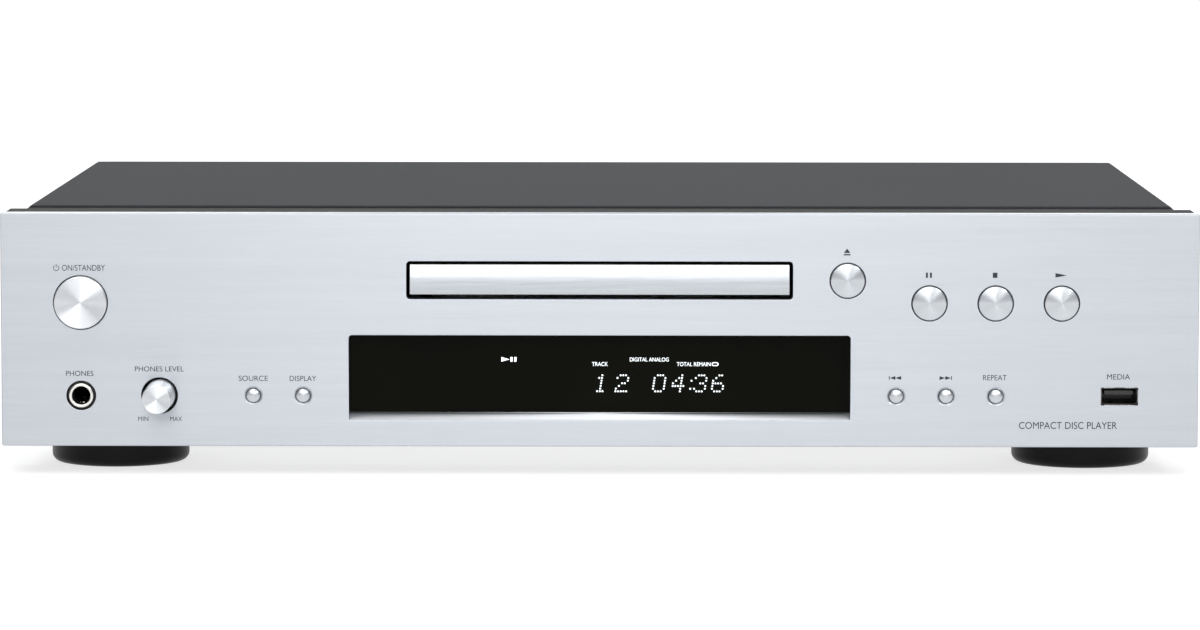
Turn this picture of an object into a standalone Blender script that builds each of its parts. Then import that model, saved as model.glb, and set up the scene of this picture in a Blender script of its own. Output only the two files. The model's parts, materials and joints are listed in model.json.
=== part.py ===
"""Full-width hi-fi CD player, built as an assembly of separate named parts.

All sizes below are in millimetres and are turned into metres by MM. +Z is up and the
player faces -Y. The origin is the centre of the footprint, on the surface under the feet.
"""

import math

import bmesh
import bpy
from mathutils import Matrix, Vector
from mathutils.geometry import delaunay_2d_cdt

MM = 0.001
GAP = 0.3  # kept between two faces that rest on each other
WELD = 1e-6  # points closer than this are one point
WHOLE_HULL = 0  # triangulates everything inside the outline's convex hull

# ---------------------------------------------------------------- driving dimensions
PANEL_WIDTH = 435.0
PANEL_BOTTOM = 11.0
PANEL_TOP = 96.0
PANEL_THICK = 7.0
CASE_WIDTH = 423.5
FACE_Y = -140.0  # front face of the aluminium panel
REAR_Y = 144.2  # outer face of the rear panel
KNOB_REACH = 13.75  # how far the knob stands out of the panel
JACK_REACH = 9.55  # how far the jacks stand out of the rear panel

PANEL_BACK = FACE_Y + PANEL_THICK
HALF_PANEL = PANEL_WIDTH / 2
HALF_CASE = CASE_WIDTH / 2

# front bezel, the plastic frame behind the aluminium panel
BEZEL_FRONT = PANEL_BACK + GAP
BEZEL_WALL = 2.5
BEZEL_BACK = -111.0
BEZEL_LEDGE = -101.3  # rear end of the narrow collar that carries the cover
BEZEL_REVEAL = 0.5  # how far the bezel stays inside the panel's outline

# chassis and cover
SHEET = 1.2
COVER_SHEET = 1.0
FLOOR_Z = 14.3
COVER_FRONT = -101.0
COVER_BEND = 1.8
COVER_SCREW_Y = (-60.0, 95.0)  # front and rear screw of each side
COVER_SCREW_Z = 52.0

# openings and controls, as (x, z) on the front face
TRAY_Z = (64.85, 78.6)
TRAY_HALF = 70.1
WINDOW_Z = (22.8, 51.6)
WINDOW_HALF = 91.1
WINDOW_SEAT = 3.0  # how much wider than its hole in the aluminium the window's seat is
SILL_DROP = 1.95
LARGE_BUTTON_ROW = 63.5
SMALL_ROW = 29.6
POWER_AT = (-188.5, 63.4)
LARGE_BUTTONS = {
    "eject_button": (90.0, 71.7),
    "pause_button": (119.7, LARGE_BUTTON_ROW),
    "stop_button": (143.7, LARGE_BUTTON_ROW),
    "play_button": (167.7, LARGE_BUTTON_ROW),
}
SMALL_BUTTONS = {
    "source_button": (-125.9, SMALL_ROW),
    "display_button": (-107.8, SMALL_ROW),
    "previous_button": (107.8, SMALL_ROW),
    "next_button": (125.9, SMALL_ROW),
    "repeat_button": (144.0, SMALL_ROW),
}
POWER_HOLE_R = 9.9
LARGE_HOLE_R = 6.55
SMALL_HOLE_R = 2.8
SMALL_SINK_R = 3.45
JACK_AT = (-188.5, 29.5)
JACK_HOLE_R = 5.35
JACK_BORE_R = 3.23
KNOB_AT = (-160.0, 29.5)
KNOB_HOLE_R = 6.6
KNOB_R = 5.6
USB_AT = (188.9, 29.6)
USB_CUTOUT = (13.5, 6.6)

# circuit boards
BOARD = 1.6
MAIN_BOARD_Z = 21.0  # underside of the two boards on the base
FRONT_BOARD_Y = -121.0
SWITCH_TALL = 3.8

# feet
FOOT_R = 25.5
FOOT_X = 179.0
FOOT_FRONT_Y = -90.0
FOOT_REAR_Y = 105.0

# disc loader
SPINDLE_Y = -68.0
TRAY_HALF_WIDTH = 65.5
TRAY_FRONT_Y = -130.6
TRAY_REAR_Y = 32.0
TRAY_PLATE_Z = (70.0, 75.5)
DISC_SEAT_Z = 73.6
SMALL_DISC_SEAT_Z = 72.2
DISC_RECESS_R = 60.5
SMALL_DISC_RECESS_R = 40.5
SLOT_HALF = 18.5
RACK_PITCH_X = -57.0
RACK_MODULE = 1.25
RACK_Z = (67.4, 70.2)
RACK_Y = (-119.0, 30.0)
DRIVE_Y = -109.6  # line of the loading gears
TRAY_GEAR_TEETH = 16
IDLER_TEETH = 28
IDLER_MODULE = 1.0
PINION_TEETH = 12
TRAY_GEAR_X = RACK_PITCH_X + RACK_MODULE * TRAY_GEAR_TEETH / 2
PULLEY_GEAR_X = TRAY_GEAR_X + IDLER_MODULE * (IDLER_TEETH + PINION_TEETH) / 2
LOADING_MOTOR_X = 2.0
BELT_R = {"pulley": 10.0, "motor": 3.0}
BELT_THICK = 1.2
FRAME_PLATE_Z = (56.0, 58.5)

# traverse, the tilting deck that carries the spindle and the laser pickup
DECK_Z = (60.0, 62.0)
DECK_HALF = 43.5
DECK_Y = (-93.5, 8.0)
HINGE_YZ = (5.0, 61.0)
HINGE_PIN_R = 1.5
CAM_Y = (-96.8, -94.8)
CAM_TRAVEL = 12.0
TILT_DEG = 5.0
CAM_PIN_R = 1.5
CAM_PIN_X = (-20.0, 20.0)
LENS_Y = -44.0
ROD_X = 20.0
ROD_Z = 66.2
ROD_R = 1.2
ROD_Y = (-59.0, 5.5)
SLED_MODULE = 0.8
SLED_TEETH = 11
SLED_RACK_X = -29.0
SLED_RACK_Y = (-60.0, -22.0)
SLED_GEAR_X = SLED_RACK_X - SLED_MODULE * SLED_TEETH / 2
SLED_GEAR_Y = -25.0
SLED_WHEEL_TEETH = 22
SLED_WHEEL_MODULE = 0.8
SLED_PINION_TEETH = 9
SLED_PINION_Y = SLED_GEAR_Y - SLED_WHEEL_MODULE * (SLED_WHEEL_TEETH + SLED_PINION_TEETH) / 2

# rear connectors, as (x, z)
PHONO_HOLE_R = 6.7
ANALOG_AT = ((170.0, 62.0), (170.0, 42.0))
COAXIAL_AT = (142.0, 42.0)
OPTICAL_AT = (118.0, 42.0)
INLET_AT = (-165.0, 45.0)

MATERIALS = {  # name: (red, green, blue), roughness, metallic
    "aluminium": ((0.66, 0.68, 0.71), 0.35, 1.0),
    "painted_steel": ((0.10, 0.10, 0.105), 0.55, 0.2),
    "zinc_steel": ((0.55, 0.56, 0.57), 0.4, 1.0),
    "black_plastic": ((0.02, 0.02, 0.022), 0.45, 0.0),
    "grey_plastic": ((0.16, 0.16, 0.17), 0.5, 0.0),
    "white_plastic": ((0.75, 0.74, 0.70), 0.45, 0.0),
    "rubber": ((0.015, 0.015, 0.015), 0.8, 0.0),
    "smoked_acrylic": ((0.01, 0.01, 0.01), 0.08, 0.0),
    "glass": ((0.05, 0.06, 0.06), 0.05, 0.0),
    "circuit_board": ((0.03, 0.16, 0.07), 0.5, 0.0),
    "nickel": ((0.70, 0.69, 0.66), 0.2, 1.0),
    "copper": ((0.55, 0.25, 0.10), 0.4, 1.0),
    "laminated_steel": ((0.20, 0.20, 0.21), 0.5, 0.8),
}


# ---------------------------------------------------------------- outlines
def circle(x, y, radius, points=24, start=0.0):
    step = math.tau / points
    return [
        (x + radius * math.cos(start + i * step), y + radius * math.sin(start + i * step))
        for i in range(points)
    ]


def arc(x, y, radius, first_deg, last_deg, points):
    steps = [first_deg + (last_deg - first_deg) * i / (points - 1) for i in range(points)]
    return [
        (x + radius * math.cos(math.radians(a)), y + radius * math.sin(math.radians(a)))
        for a in steps
    ]


def rectangle(x0, x1, y0, y1, radius=0.0, points=3):
    if radius == 0.0:
        return [(x0, y0), (x1, y0), (x1, y1), (x0, y1)]
    return (
        arc(x1 - radius, y0 + radius, radius, -90, 0, points)
        + arc(x1 - radius, y1 - radius, radius, 0, 90, points)
        + arc(x0 + radius, y1 - radius, radius, 90, 180, points)
        + arc(x0 + radius, y0 + radius, radius, 180, 270, points)
    )


def centred(x, y, width, height, radius=0.0):
    return rectangle(x - width / 2, x + width / 2, y - height / 2, y + height / 2, radius)


TOOTH_ADDENDUM = 0.8
TOOTH_DEDENDUM = 1.15
TOOTH_HALF = {"root": 1.02, "tip": 0.33}  # half widths in modules, thin enough to run free


def gear(x, y, teeth, module, tooth_at=0.0):
    """Outline of a spur gear with stub teeth; one tooth is centred on the angle tooth_at."""
    pitch_radius = teeth * module / 2
    root = pitch_radius - TOOTH_DEDENDUM * module
    tip = pitch_radius + TOOTH_ADDENDUM * module
    points = []
    for i in range(teeth):
        middle = tooth_at + math.tau * i / teeth
        for radius, side in ((root, -1), (tip, -1), (tip, 1), (root, 1)):
            half = TOOTH_HALF["root" if radius == root else "tip"] * module
            angle = middle + side * half / radius
            points.append((x + radius * math.cos(angle), y + radius * math.sin(angle)))
    return points


def rack(pitch_x, back_x, y0, y1, gap_at, module):
    """Outline of a straight rack along Y whose teeth point from back_x towards pitch_x."""
    facing = 1 if pitch_x > back_x else -1
    root = pitch_x - facing * TOOTH_DEDENDUM * module
    tip = pitch_x + facing * TOOTH_ADDENDUM * module
    pitch = math.pi * module
    first = gap_at + pitch / 2 + pitch * math.ceil((y0 - gap_at) / pitch)
    points = [(back_x, y1), (back_x, y0), (root, y0)]
    middle = first
    while middle + TOOTH_HALF["root"] * module < y1:
        for edge, side in ((root, -1), (tip, -1), (tip, 1), (root, 1)):
            half = TOOTH_HALF["root" if edge == root else "tip"] * module
            points.append((edge, middle + side * half))
        middle += pitch
    return points + [(root, y1)]


# ---------------------------------------------------------------- solids
def clear_scene():
    for obj in list(bpy.data.objects):
        bpy.data.objects.remove(obj, do_unlink=True)


def material(name):
    found = bpy.data.materials.get(name)
    if found:
        return found
    colour, roughness, metallic = MATERIALS[name]
    made = bpy.data.materials.new(name)
    made.use_nodes = True
    shader = made.node_tree.nodes["Principled BSDF"]
    shader.inputs["Base Color"].default_value = (*colour, 1.0)
    shader.inputs["Roughness"].default_value = roughness
    shader.inputs["Metallic"].default_value = metallic
    return made


def link(name, mesh, finish):
    obj = bpy.data.objects.new(name, mesh)
    bpy.context.scene.collection.objects.link(obj)
    mesh.materials.clear()
    mesh.materials.append(material(finish))
    return obj


AXIS_TURN = {  # from the outline's own plane to the plane across each axis
    "Z": Matrix.Identity(4),
    "Y": Matrix(((1, 0, 0, 0), (0, 0, 1, 0), (0, 1, 0, 0), (0, 0, 0, 1))),
    "X": Matrix(((0, 0, 1, 0), (1, 0, 0, 0), (0, 1, 0, 0), (0, 0, 0, 1))),
}


def inside(x, y, loop):
    crossings = 0
    for (x0, y0), (x1, y1) in zip(loop, loop[1:] + loop[:1]):
        if (y0 > y) != (y1 > y) and x < x0 + (y - y0) * (x1 - x0) / (y1 - y0):
            crossings += 1
    return crossings % 2 == 1


def filled(triangle, loops):
    """Whether a triangle lies within the outline and outside its holes."""
    middle = sum(triangle, Vector((0, 0))) / 3
    return sum(inside(middle.x, middle.y, loop) for loop in loops) % 2 == 1


def plate(name, loops, low, high, axis="Z", finish="black_plastic"):
    """A flat piece from low to high along axis. loops hold the outline and then its holes,
    as (x, y) for axis Z, (x, z) for axis Y and (y, z) for axis X."""
    points = [Vector(point) for loop in loops for point in loop]
    edges = []
    for loop in loops:
        first = len(edges)
        edges += [(first + i, first + (i + 1) % len(loop)) for i in range(len(loop))]
    corners, _, triangles, *_ = delaunay_2d_cdt(points, edges, [], WHOLE_HULL, WELD)
    triangles = [t for t in triangles if filled([corners[i] for i in t], loops)]
    bm = bmesh.new()
    near = [bm.verts.new((x * MM, y * MM, low * MM)) for x, y in corners]
    far = [bm.verts.new((x * MM, y * MM, high * MM)) for x, y in corners]
    for triangle in triangles:
        bm.faces.new([near[i] for i in triangle])
    rim_edges = [edge.verts for edge in bm.edges if len(edge.link_faces) == 1]
    rim_pairs = [(near.index(start), near.index(end)) for start, end in rim_edges]
    for triangle in triangles:
        bm.faces.new([far[i] for i in triangle])
    for start, end in rim_pairs:
        bm.faces.new((near[start], near[end], far[end], far[start]))
    mesh = bpy.data.meshes.new(name)
    bmesh.ops.recalc_face_normals(bm, faces=bm.faces)
    bm.to_mesh(mesh)
    bm.free()
    mesh.transform(AXIS_TURN[axis])
    tidy(mesh)
    return link(name, mesh, finish)


def tidy(mesh):
    bm = bmesh.new()
    bm.from_mesh(mesh)
    bmesh.ops.remove_doubles(bm, verts=bm.verts, dist=WELD)
    bmesh.ops.recalc_face_normals(bm, faces=bm.faces)
    bm.to_mesh(mesh)
    bm.free()


def box(name, x, y, z, finish="black_plastic"):
    """A block from (low, high) pairs along X, Y and Z."""
    return plate(name, [rectangle(*x, *y)], *z, "Z", finish)


def cylinder(name, at, radius, low, high, axis="Z", finish="black_plastic", points=24):
    return plate(name, [circle(*at, radius, points)], low, high, axis, finish)


def turned(name, profile, at, axis="Y", finish="black_plastic", points=24):
    """A turned piece. profile is a closed loop of (radius, position along the axis)."""
    bm = bmesh.new()
    verts = [bm.verts.new((radius * MM, 0.0, height * MM)) for radius, height in profile]
    edges = [bm.edges.new((a, b)) for a, b in zip(verts, verts[1:] + verts[:1])]
    bmesh.ops.spin(
        bm,
        geom=verts + edges,
        cent=(0, 0, 0),
        axis=(0, 0, 1),
        angle=math.tau,
        steps=points,
        use_merge=True,
    )
    bmesh.ops.remove_doubles(bm, verts=bm.verts, dist=WELD)
    lone = [e for e in bm.edges if not e.link_faces]
    bmesh.ops.delete(bm, geom=lone, context="EDGES")
    bmesh.ops.recalc_face_normals(bm, faces=bm.faces)
    mesh = bpy.data.meshes.new(name)
    bm.to_mesh(mesh)
    bm.free()
    if axis == "Z":
        place = Matrix.Translation((at[0] * MM, at[1] * MM, 0))
    elif axis == "Y":
        place = Matrix.Translation((at[0] * MM, 0, at[1] * MM)) @ Matrix.Rotation(-math.pi / 2, 4, "X")
    else:
        place = Matrix.Translation((0, at[0] * MM, at[1] * MM)) @ Matrix.Rotation(math.pi / 2, 4, "Y")
    mesh.transform(place)
    tidy(mesh)
    obj = link(name, mesh, finish)
    mesh.shade_smooth()
    mesh.set_sharp_from_angle(angle=math.radians(35))
    return obj


def combine(target, others, operation):
    for other in others:
        modifier = target.modifiers.new(operation.title(), "BOOLEAN")
        modifier.operation = operation
        modifier.solver = "EXACT"
        modifier.object = other
    graph = bpy.context.evaluated_depsgraph_get()
    mesh = bpy.data.meshes.new_from_object(target.evaluated_get(graph))
    target.modifiers.clear()
    mesh.name = target.name
    target.data = mesh
    for other in others:
        bpy.data.objects.remove(other)
    tidy(mesh)
    return target


def join(target, *others):
    return combine(target, others, "UNION")


def carve(target, *cutters):
    return combine(target, cutters, "DIFFERENCE")


def pivot(obj, x, y, z):
    """Moves an object's origin onto its joint axis and leaves its shape where it is."""
    point = Vector((x, y, z)) * MM
    obj.data.transform(Matrix.Translation(-point))
    obj.location = point
    return obj


# ---------------------------------------------------------------- casing
def large_holes():
    """The straight-sided holes that the aluminium panel and the bezel share."""
    holes = [circle(*POWER_AT, POWER_HOLE_R, 28)]
    holes += [circle(*at, LARGE_HOLE_R, 20) for at in LARGE_BUTTONS.values()]
    holes.append(circle(*JACK_AT, JACK_HOLE_R, 20))
    holes.append(circle(*KNOB_AT, KNOB_HOLE_R, 20))
    holes.append(centred(*USB_AT, *USB_CUTOUT))
    return holes


def make_front_panel():
    """Aluminium fascia: countersunk small holes, and a window hole with a sloping sill."""
    outline = rectangle(-HALF_PANEL, HALF_PANEL, PANEL_BOTTOM, PANEL_TOP)
    tray = rectangle(-TRAY_HALF, TRAY_HALF, *TRAY_Z, 1.2)
    panel = plate(
        "front_panel", [outline, tray] + large_holes(), FACE_Y, PANEL_BACK, "Y", "aluminium"
    )
    beyond = 0.5  # how far each cutter reaches past the panel
    low, high = WINDOW_Z
    sill_depth = 3.0
    window = [
        (FACE_Y - beyond, low - SILL_DROP * (1 + beyond / sill_depth)),
        (FACE_Y + sill_depth, low),
        (PANEL_BACK + beyond, low),
        (PANEL_BACK + beyond, high),
        (FACE_Y - beyond, high),
    ]
    cutters = [plate("window", [window], -WINDOW_HALF, WINDOW_HALF, "X")]
    sink = [
        (0, FACE_Y - beyond),
        (SMALL_SINK_R + beyond, FACE_Y - beyond),
        (SMALL_HOLE_R, FACE_Y + SMALL_SINK_R - SMALL_HOLE_R),
        (SMALL_HOLE_R, PANEL_BACK + beyond),
        (0, PANEL_BACK + beyond),
    ]
    cutters += [turned("sink", sink, at, "Y", points=12) for at in SMALL_BUTTONS.values()]
    return carve(panel, *cutters)


def rim(name, half_width, z0, z1, wall, y0, y1, finish="black_plastic"):
    """A rectangular frame seen from the front, wall thick."""
    outer = rectangle(-half_width, half_width, z0, z1)
    inner = rectangle(-half_width + wall, half_width - wall, z0 + wall, z1 - wall)
    return plate(name, [outer, inner], y0, y1, "Y", finish)


def make_front_bezel():
    half = HALF_PANEL - BEZEL_REVEAL
    low, high = PANEL_BOTTOM + BEZEL_REVEAL, PANEL_TOP - BEZEL_REVEAL
    wall_back = BEZEL_FRONT + BEZEL_WALL
    overlap = 0.2
    tray = rectangle(-TRAY_HALF, TRAY_HALF, *TRAY_Z)
    window = rectangle(
        -WINDOW_HALF - WINDOW_SEAT,
        WINDOW_HALF + WINDOW_SEAT,
        WINDOW_Z[0] - WINDOW_SEAT,
        WINDOW_Z[1] + WINDOW_SEAT,
    )
    loops = [rectangle(-half, half, low, high), tray, window] + large_holes()
    loops += [circle(*at, SMALL_HOLE_R, 12) for at in SMALL_BUTTONS.values()]
    bezel = plate("front_bezel", loops, BEZEL_FRONT, wall_back, "Y", "black_plastic")
    skirt = rim("skirt", half, low, high, BEZEL_WALL, wall_back - overlap, BEZEL_BACK)
    collar_half = HALF_CASE - GAP
    collar_wall = 2.0
    flange_outer = rectangle(-half, half, low, high)
    flange_inner = rectangle(
        -collar_half + collar_wall,
        collar_half - collar_wall,
        low + BEZEL_WALL,
        high - collar_wall - GAP,
    )
    flange = plate("flange", [flange_outer, flange_inner], BEZEL_BACK - 2.0, BEZEL_BACK, "Y")
    collar_top = high - GAP
    collar = [
        (-collar_half, FLOOR_Z + 1.0),
        (-collar_half + collar_wall, FLOOR_Z + 1.0),
        (-collar_half + collar_wall, collar_top - collar_wall),
        (collar_half - collar_wall, collar_top - collar_wall),
        (collar_half - collar_wall, FLOOR_Z + 1.0),
        (collar_half, FLOOR_Z + 1.0),
        (collar_half, collar_top),
        (-collar_half, collar_top),
    ]
    collar = plate("collar", [collar], BEZEL_BACK - overlap, BEZEL_LEDGE, "Y")
    join(bezel, skirt, flange, collar)
    foot_notches = [
        cylinder("notch", (side * FOOT_X, FOOT_FRONT_Y), FOOT_R + 1.0, low - 1.0, FLOOR_Z + 0.5)
        for side in (-1, 1)
    ]
    return carve(bezel, *foot_notches)


def make_display():
    seat = WINDOW_SEAT - GAP
    window = rectangle(
        -WINDOW_HALF - seat, WINDOW_HALF + seat, WINDOW_Z[0] - seat, WINDOW_Z[1] + seat, 1.0
    )
    window_back = BEZEL_FRONT + BEZEL_WALL
    plate("display_window", [window], PANEL_BACK + GAP, window_back, "Y", "smoked_acrylic")
    tube = box("display_tube", (-72, 72), (window_back + 0.8, -124.2), (23.5, 50.5), "glass")
    pip = cylinder("pip", (60, 37), 1.6, window_back + 5.4, -123.0, "Y")
    join(tube, pip)


def make_chassis():
    half = 208.8
    flange_top = 40.0
    top = FLOOR_Z + SHEET
    section = [
        (-half, FLOOR_Z),
        (half, FLOOR_Z),
        (half, flange_top),
        (half - SHEET, flange_top),
        (half - SHEET, top),
        (-half + SHEET, top),
        (-half + SHEET, flange_top),
        (-half, flange_top),
    ]
    chassis = plate("chassis_base", [section], BEZEL_LEDGE + GAP, 142.9, "Y", "zinc_steel")
    tongue_half = HALF_PANEL - 9.0
    tongue = box("tongue", (-tongue_half, tongue_half), (-129.5, -100.0), (FLOOR_Z, top))
    join(chassis, tongue)
    slots = []
    for side in (-1, 1):
        for i in range(7):
            y = -30 + 14 * i
            x = side * 118
            slot = rectangle(x - 22, x + 22, y - 1.75, y + 1.75)
            slots.append(plate("slot", [slot], FLOOR_Z - 1, top + 1))
    return carve(chassis, *slots)


def make_top_cover():
    outer_half, inner_half = HALF_CASE, HALF_CASE - COVER_SHEET
    bottom = FLOOR_Z + 0.5
    inner_bend = COVER_BEND - COVER_SHEET
    centre_x, centre_z = HALF_CASE - COVER_BEND, PANEL_TOP - COVER_BEND
    section = [(outer_half, bottom)]
    section += arc(centre_x, centre_z, COVER_BEND, 0, 90, 4)
    section += arc(-centre_x, centre_z, COVER_BEND, 90, 180, 4)
    section += [(-outer_half, bottom), (-inner_half, bottom)]
    section += arc(-centre_x, centre_z, inner_bend, 180, 90, 4)
    section += arc(centre_x, centre_z, inner_bend, 90, 0, 4)
    section += [(inner_half, bottom)]
    cover = plate("top_cover", [section], COVER_FRONT, REAR_Y + GAP, "Y", "painted_steel")
    lip_half = HALF_CASE - 6.0
    lip = box(
        "lip",
        (-lip_half, lip_half),
        (REAR_Y + GAP - 0.2, REAR_Y + GAP + COVER_SHEET),
        (PANEL_TOP - 11.0, PANEL_TOP),
    )
    join(cover, lip)
    holes = [
        cylinder(
            "hole", (y, COVER_SCREW_Z), 2.2, side * HALF_CASE - 3, side * HALF_CASE + 3, "X", points=12
        )
        for side in (-1, 1)
        for y in COVER_SCREW_Y
    ]
    return carve(cover, *holes)


def make_cover_screws():
    """Pan-head screws that hold the cover's sides, each through its hole."""
    head_r, head_tall, shank_r = 4.0, 2.0, 1.75
    profile = [
        (0, -4.0),
        (shank_r, -4.0),
        (shank_r, GAP),
        (head_r, GAP),
        (head_r, head_tall * 0.6),
        (head_r * 0.7, head_tall),
        (0, head_tall),
    ]
    for side, word in ((-1, "left"), (1, "right")):
        for y, place in zip(COVER_SCREW_Y, ("front", "rear")):
            turned_profile = [(r, side * (HALF_CASE + h)) for r, h in profile]
            name = f"cover_screw_{word}_{place}"
            turned(name, turned_profile, (y, COVER_SCREW_Z), "X", "painted_steel", 12)


def make_rear_panel():
    half = HALF_CASE - COVER_SHEET - GAP
    outline = rectangle(-half, half, FLOOR_Z + GAP, PANEL_TOP - COVER_SHEET - GAP)
    holes = [circle(*at, PHONO_HOLE_R, 20) for at in (*ANALOG_AT, COAXIAL_AT)]
    holes.append(centred(*OPTICAL_AT, 12.0, 12.0))
    holes.append(centred(*INLET_AT, 27.6, 20.4))
    vents = [rectangle(x - 1.5, x + 1.5, 62, 82) for x in range(-70, 71, 14)]
    return plate(
        "rear_panel", [outline] + holes + vents, REAR_Y - COVER_SHEET, REAR_Y, "Y", "painted_steel"
    )


def make_feet():
    """Round feet with a rolled lower edge and a recess for the screw that holds each one."""
    top = FLOOR_Z - GAP
    profile = [
        (3.0, top),
        (FOOT_R, top),
        (FOOT_R, 3.2),
        (FOOT_R - 0.9, 0.9),
        (FOOT_R - 3.2, 0.0),
        (9.0, 0.0),
        (8.0, 7.0),
        (3.0, 7.0),
    ]
    for side, word in ((-1, "left"), (1, "right")):
        for y, place in ((FOOT_FRONT_Y, "front"), (FOOT_REAR_Y, "rear")):
            turned(f"foot_{place}_{word}", profile, (side * FOOT_X, y), "Z", "rubber", 24)


# ---------------------------------------------------------------- controls
BUTTON_TRAVEL = 1.5
BUTTON_PROUD = 1.5


def push_button(name, at, hole_radius, clearance, finish, points):
    """A cap with a retaining flange behind the bezel and a stem that meets its switch."""
    cap = hole_radius - clearance
    flange_front = BEZEL_FRONT + BEZEL_WALL + 0.5
    chamfer = 0.4
    front = FACE_Y - BUTTON_PROUD
    stem_r = min(2.2, cap * 0.7)
    stem_end = FRONT_BOARD_Y - SWITCH_TALL - BUTTON_TRAVEL - GAP
    profile = [
        (0, front),
        (cap - chamfer, front),
        (cap, front + chamfer),
        (cap, flange_front),
        (hole_radius + 1.0, flange_front),
        (hole_radius + 1.0, flange_front + 1.2),
        (stem_r, flange_front + 1.2),
        (stem_r, stem_end),
        (0, stem_end),
    ]
    button = turned(name, profile, at, "Y", finish, points)
    return pivot(button, at[0], front, at[1])


def make_buttons():
    push_button("power_button", POWER_AT, POWER_HOLE_R, 0.4, "aluminium", 28)
    for name, at in LARGE_BUTTONS.items():
        push_button(name, at, LARGE_HOLE_R, 0.35, "aluminium", 20)
    for name, at in SMALL_BUTTONS.items():
        push_button(name, at, SMALL_HOLE_R, 0.4, "aluminium", 12)


def make_level_control():
    front = FACE_Y - KNOB_REACH
    back = -134.5
    shaft_r, bore_r = 3.0, 3.2
    knob_profile = [
        (0, front),
        (KNOB_R - 0.6, front),
        (KNOB_R - 0.25, front + 0.5),
        (KNOB_R, back),
        (bore_r, back),
        (bore_r, front + 5.0),
        (0, front + 5.0),
    ]
    knob = turned("level_knob", knob_profile, KNOB_AT, "Y", "aluminium", 20)
    pivot(knob, KNOB_AT[0], front, KNOB_AT[1])
    pot_front, pot_back = -127.0, FRONT_BOARD_Y - GAP
    shaft = cylinder(
        "level_shaft", KNOB_AT, shaft_r, front + 5.5, pot_front - GAP, "Y", "nickel", 16
    )
    pivot(shaft, KNOB_AT[0], pot_front, KNOB_AT[1])
    pot = plate(
        "level_pot", [centred(*KNOB_AT, 11.0, 12.0)], pot_front, pot_back, "Y", "grey_plastic"
    )
    lugs = box("lugs", (-164.0, -156.0), (-124.5, -122.5), (KNOB_AT[1] - 9.0, KNOB_AT[1] - 5.0))
    join(pot, lugs)


def make_phones_jack():
    """Headphone socket: a black body with a bright metal nose around the bore."""
    body_front, body_back = -129.6, -104.0
    nose_r, nose_front = 4.55, FACE_Y - 0.4
    profile = [
        (0, nose_front),
        (nose_r - 0.35, nose_front),
        (nose_r, nose_front + 0.6),
        (nose_r, FACE_Y + 0.9),
        (JACK_HOLE_R - GAP, FACE_Y + 0.9),
        (JACK_HOLE_R - GAP, body_front + 1.0),
        (0, body_front + 1.0),
    ]
    jack = turned("phones_jack", profile, JACK_AT, "Y", "black_plastic", 20)
    join(jack, plate("body", [centred(*JACK_AT, 15.0, 15.0)], body_front, body_back, "Y"))
    mouth = 1.6  # how far the bore's flared mouth reaches in front of the nose
    bore = [
        (0, nose_front - mouth),
        (JACK_BORE_R + mouth, nose_front - mouth),
        (JACK_BORE_R, nose_front + 0.6),
        (JACK_BORE_R, body_back - 3.0),
        (0, body_back - 3.0),
    ]
    return carve(jack, turned("bore", bore, JACK_AT, "Y", points=20))


def make_usb_port():
    width, height, wall = 13.1, 6.1, 0.45
    front, back = FACE_Y + 0.6, -122.5
    shell_loops = [
        centred(*USB_AT, width, height),
        centred(*USB_AT, width - 2 * wall, height - 2 * wall),
    ]
    port = plate("usb_port", shell_loops, front, back, "Y", "nickel")
    back_wall = plate("back", [centred(*USB_AT, width, height)], back - 1.0, back + 0.8, "Y")
    x, z = USB_AT
    tongue = box("tongue", (x - 5.3, x + 5.3), (-135.0, back), (z + 0.2, z + 2.0))
    join(port, back_wall, tongue)


def make_front_board():
    """One board behind the bezel, with a switch for each button and notches for the socket."""
    low, middle_top, side_top = 17.0, 42.5, 80.0
    shoulder, half = 76.0, 204.0
    outline = [
        (-half, low),
        (half, low),
        (half, side_top),
        (shoulder, side_top),
        (shoulder, middle_top),
        (-shoulder, middle_top),
        (-shoulder, side_top),
        (-half, side_top),
    ]
    jack_hole = centred(*JACK_AT, 17.0, 17.0)
    board = plate(
        "front_board",
        [outline, jack_hole],
        FRONT_BOARD_Y,
        FRONT_BOARD_Y + BOARD,
        "Y",
        "circuit_board",
    )
    switches = []
    for at in [POWER_AT, *LARGE_BUTTONS.values(), *SMALL_BUTTONS.values()]:
        front = FRONT_BOARD_Y - SWITCH_TALL
        base = plate("base", [centred(*at, 6.2, 6.2)], front + 0.8, FRONT_BOARD_Y + 0.4, "Y")
        tip = plate("tip", [circle(*at, 1.7, 8)], front, front + 1.2, "Y")
        switches += [base, tip]
    return join(board, *switches)


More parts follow.
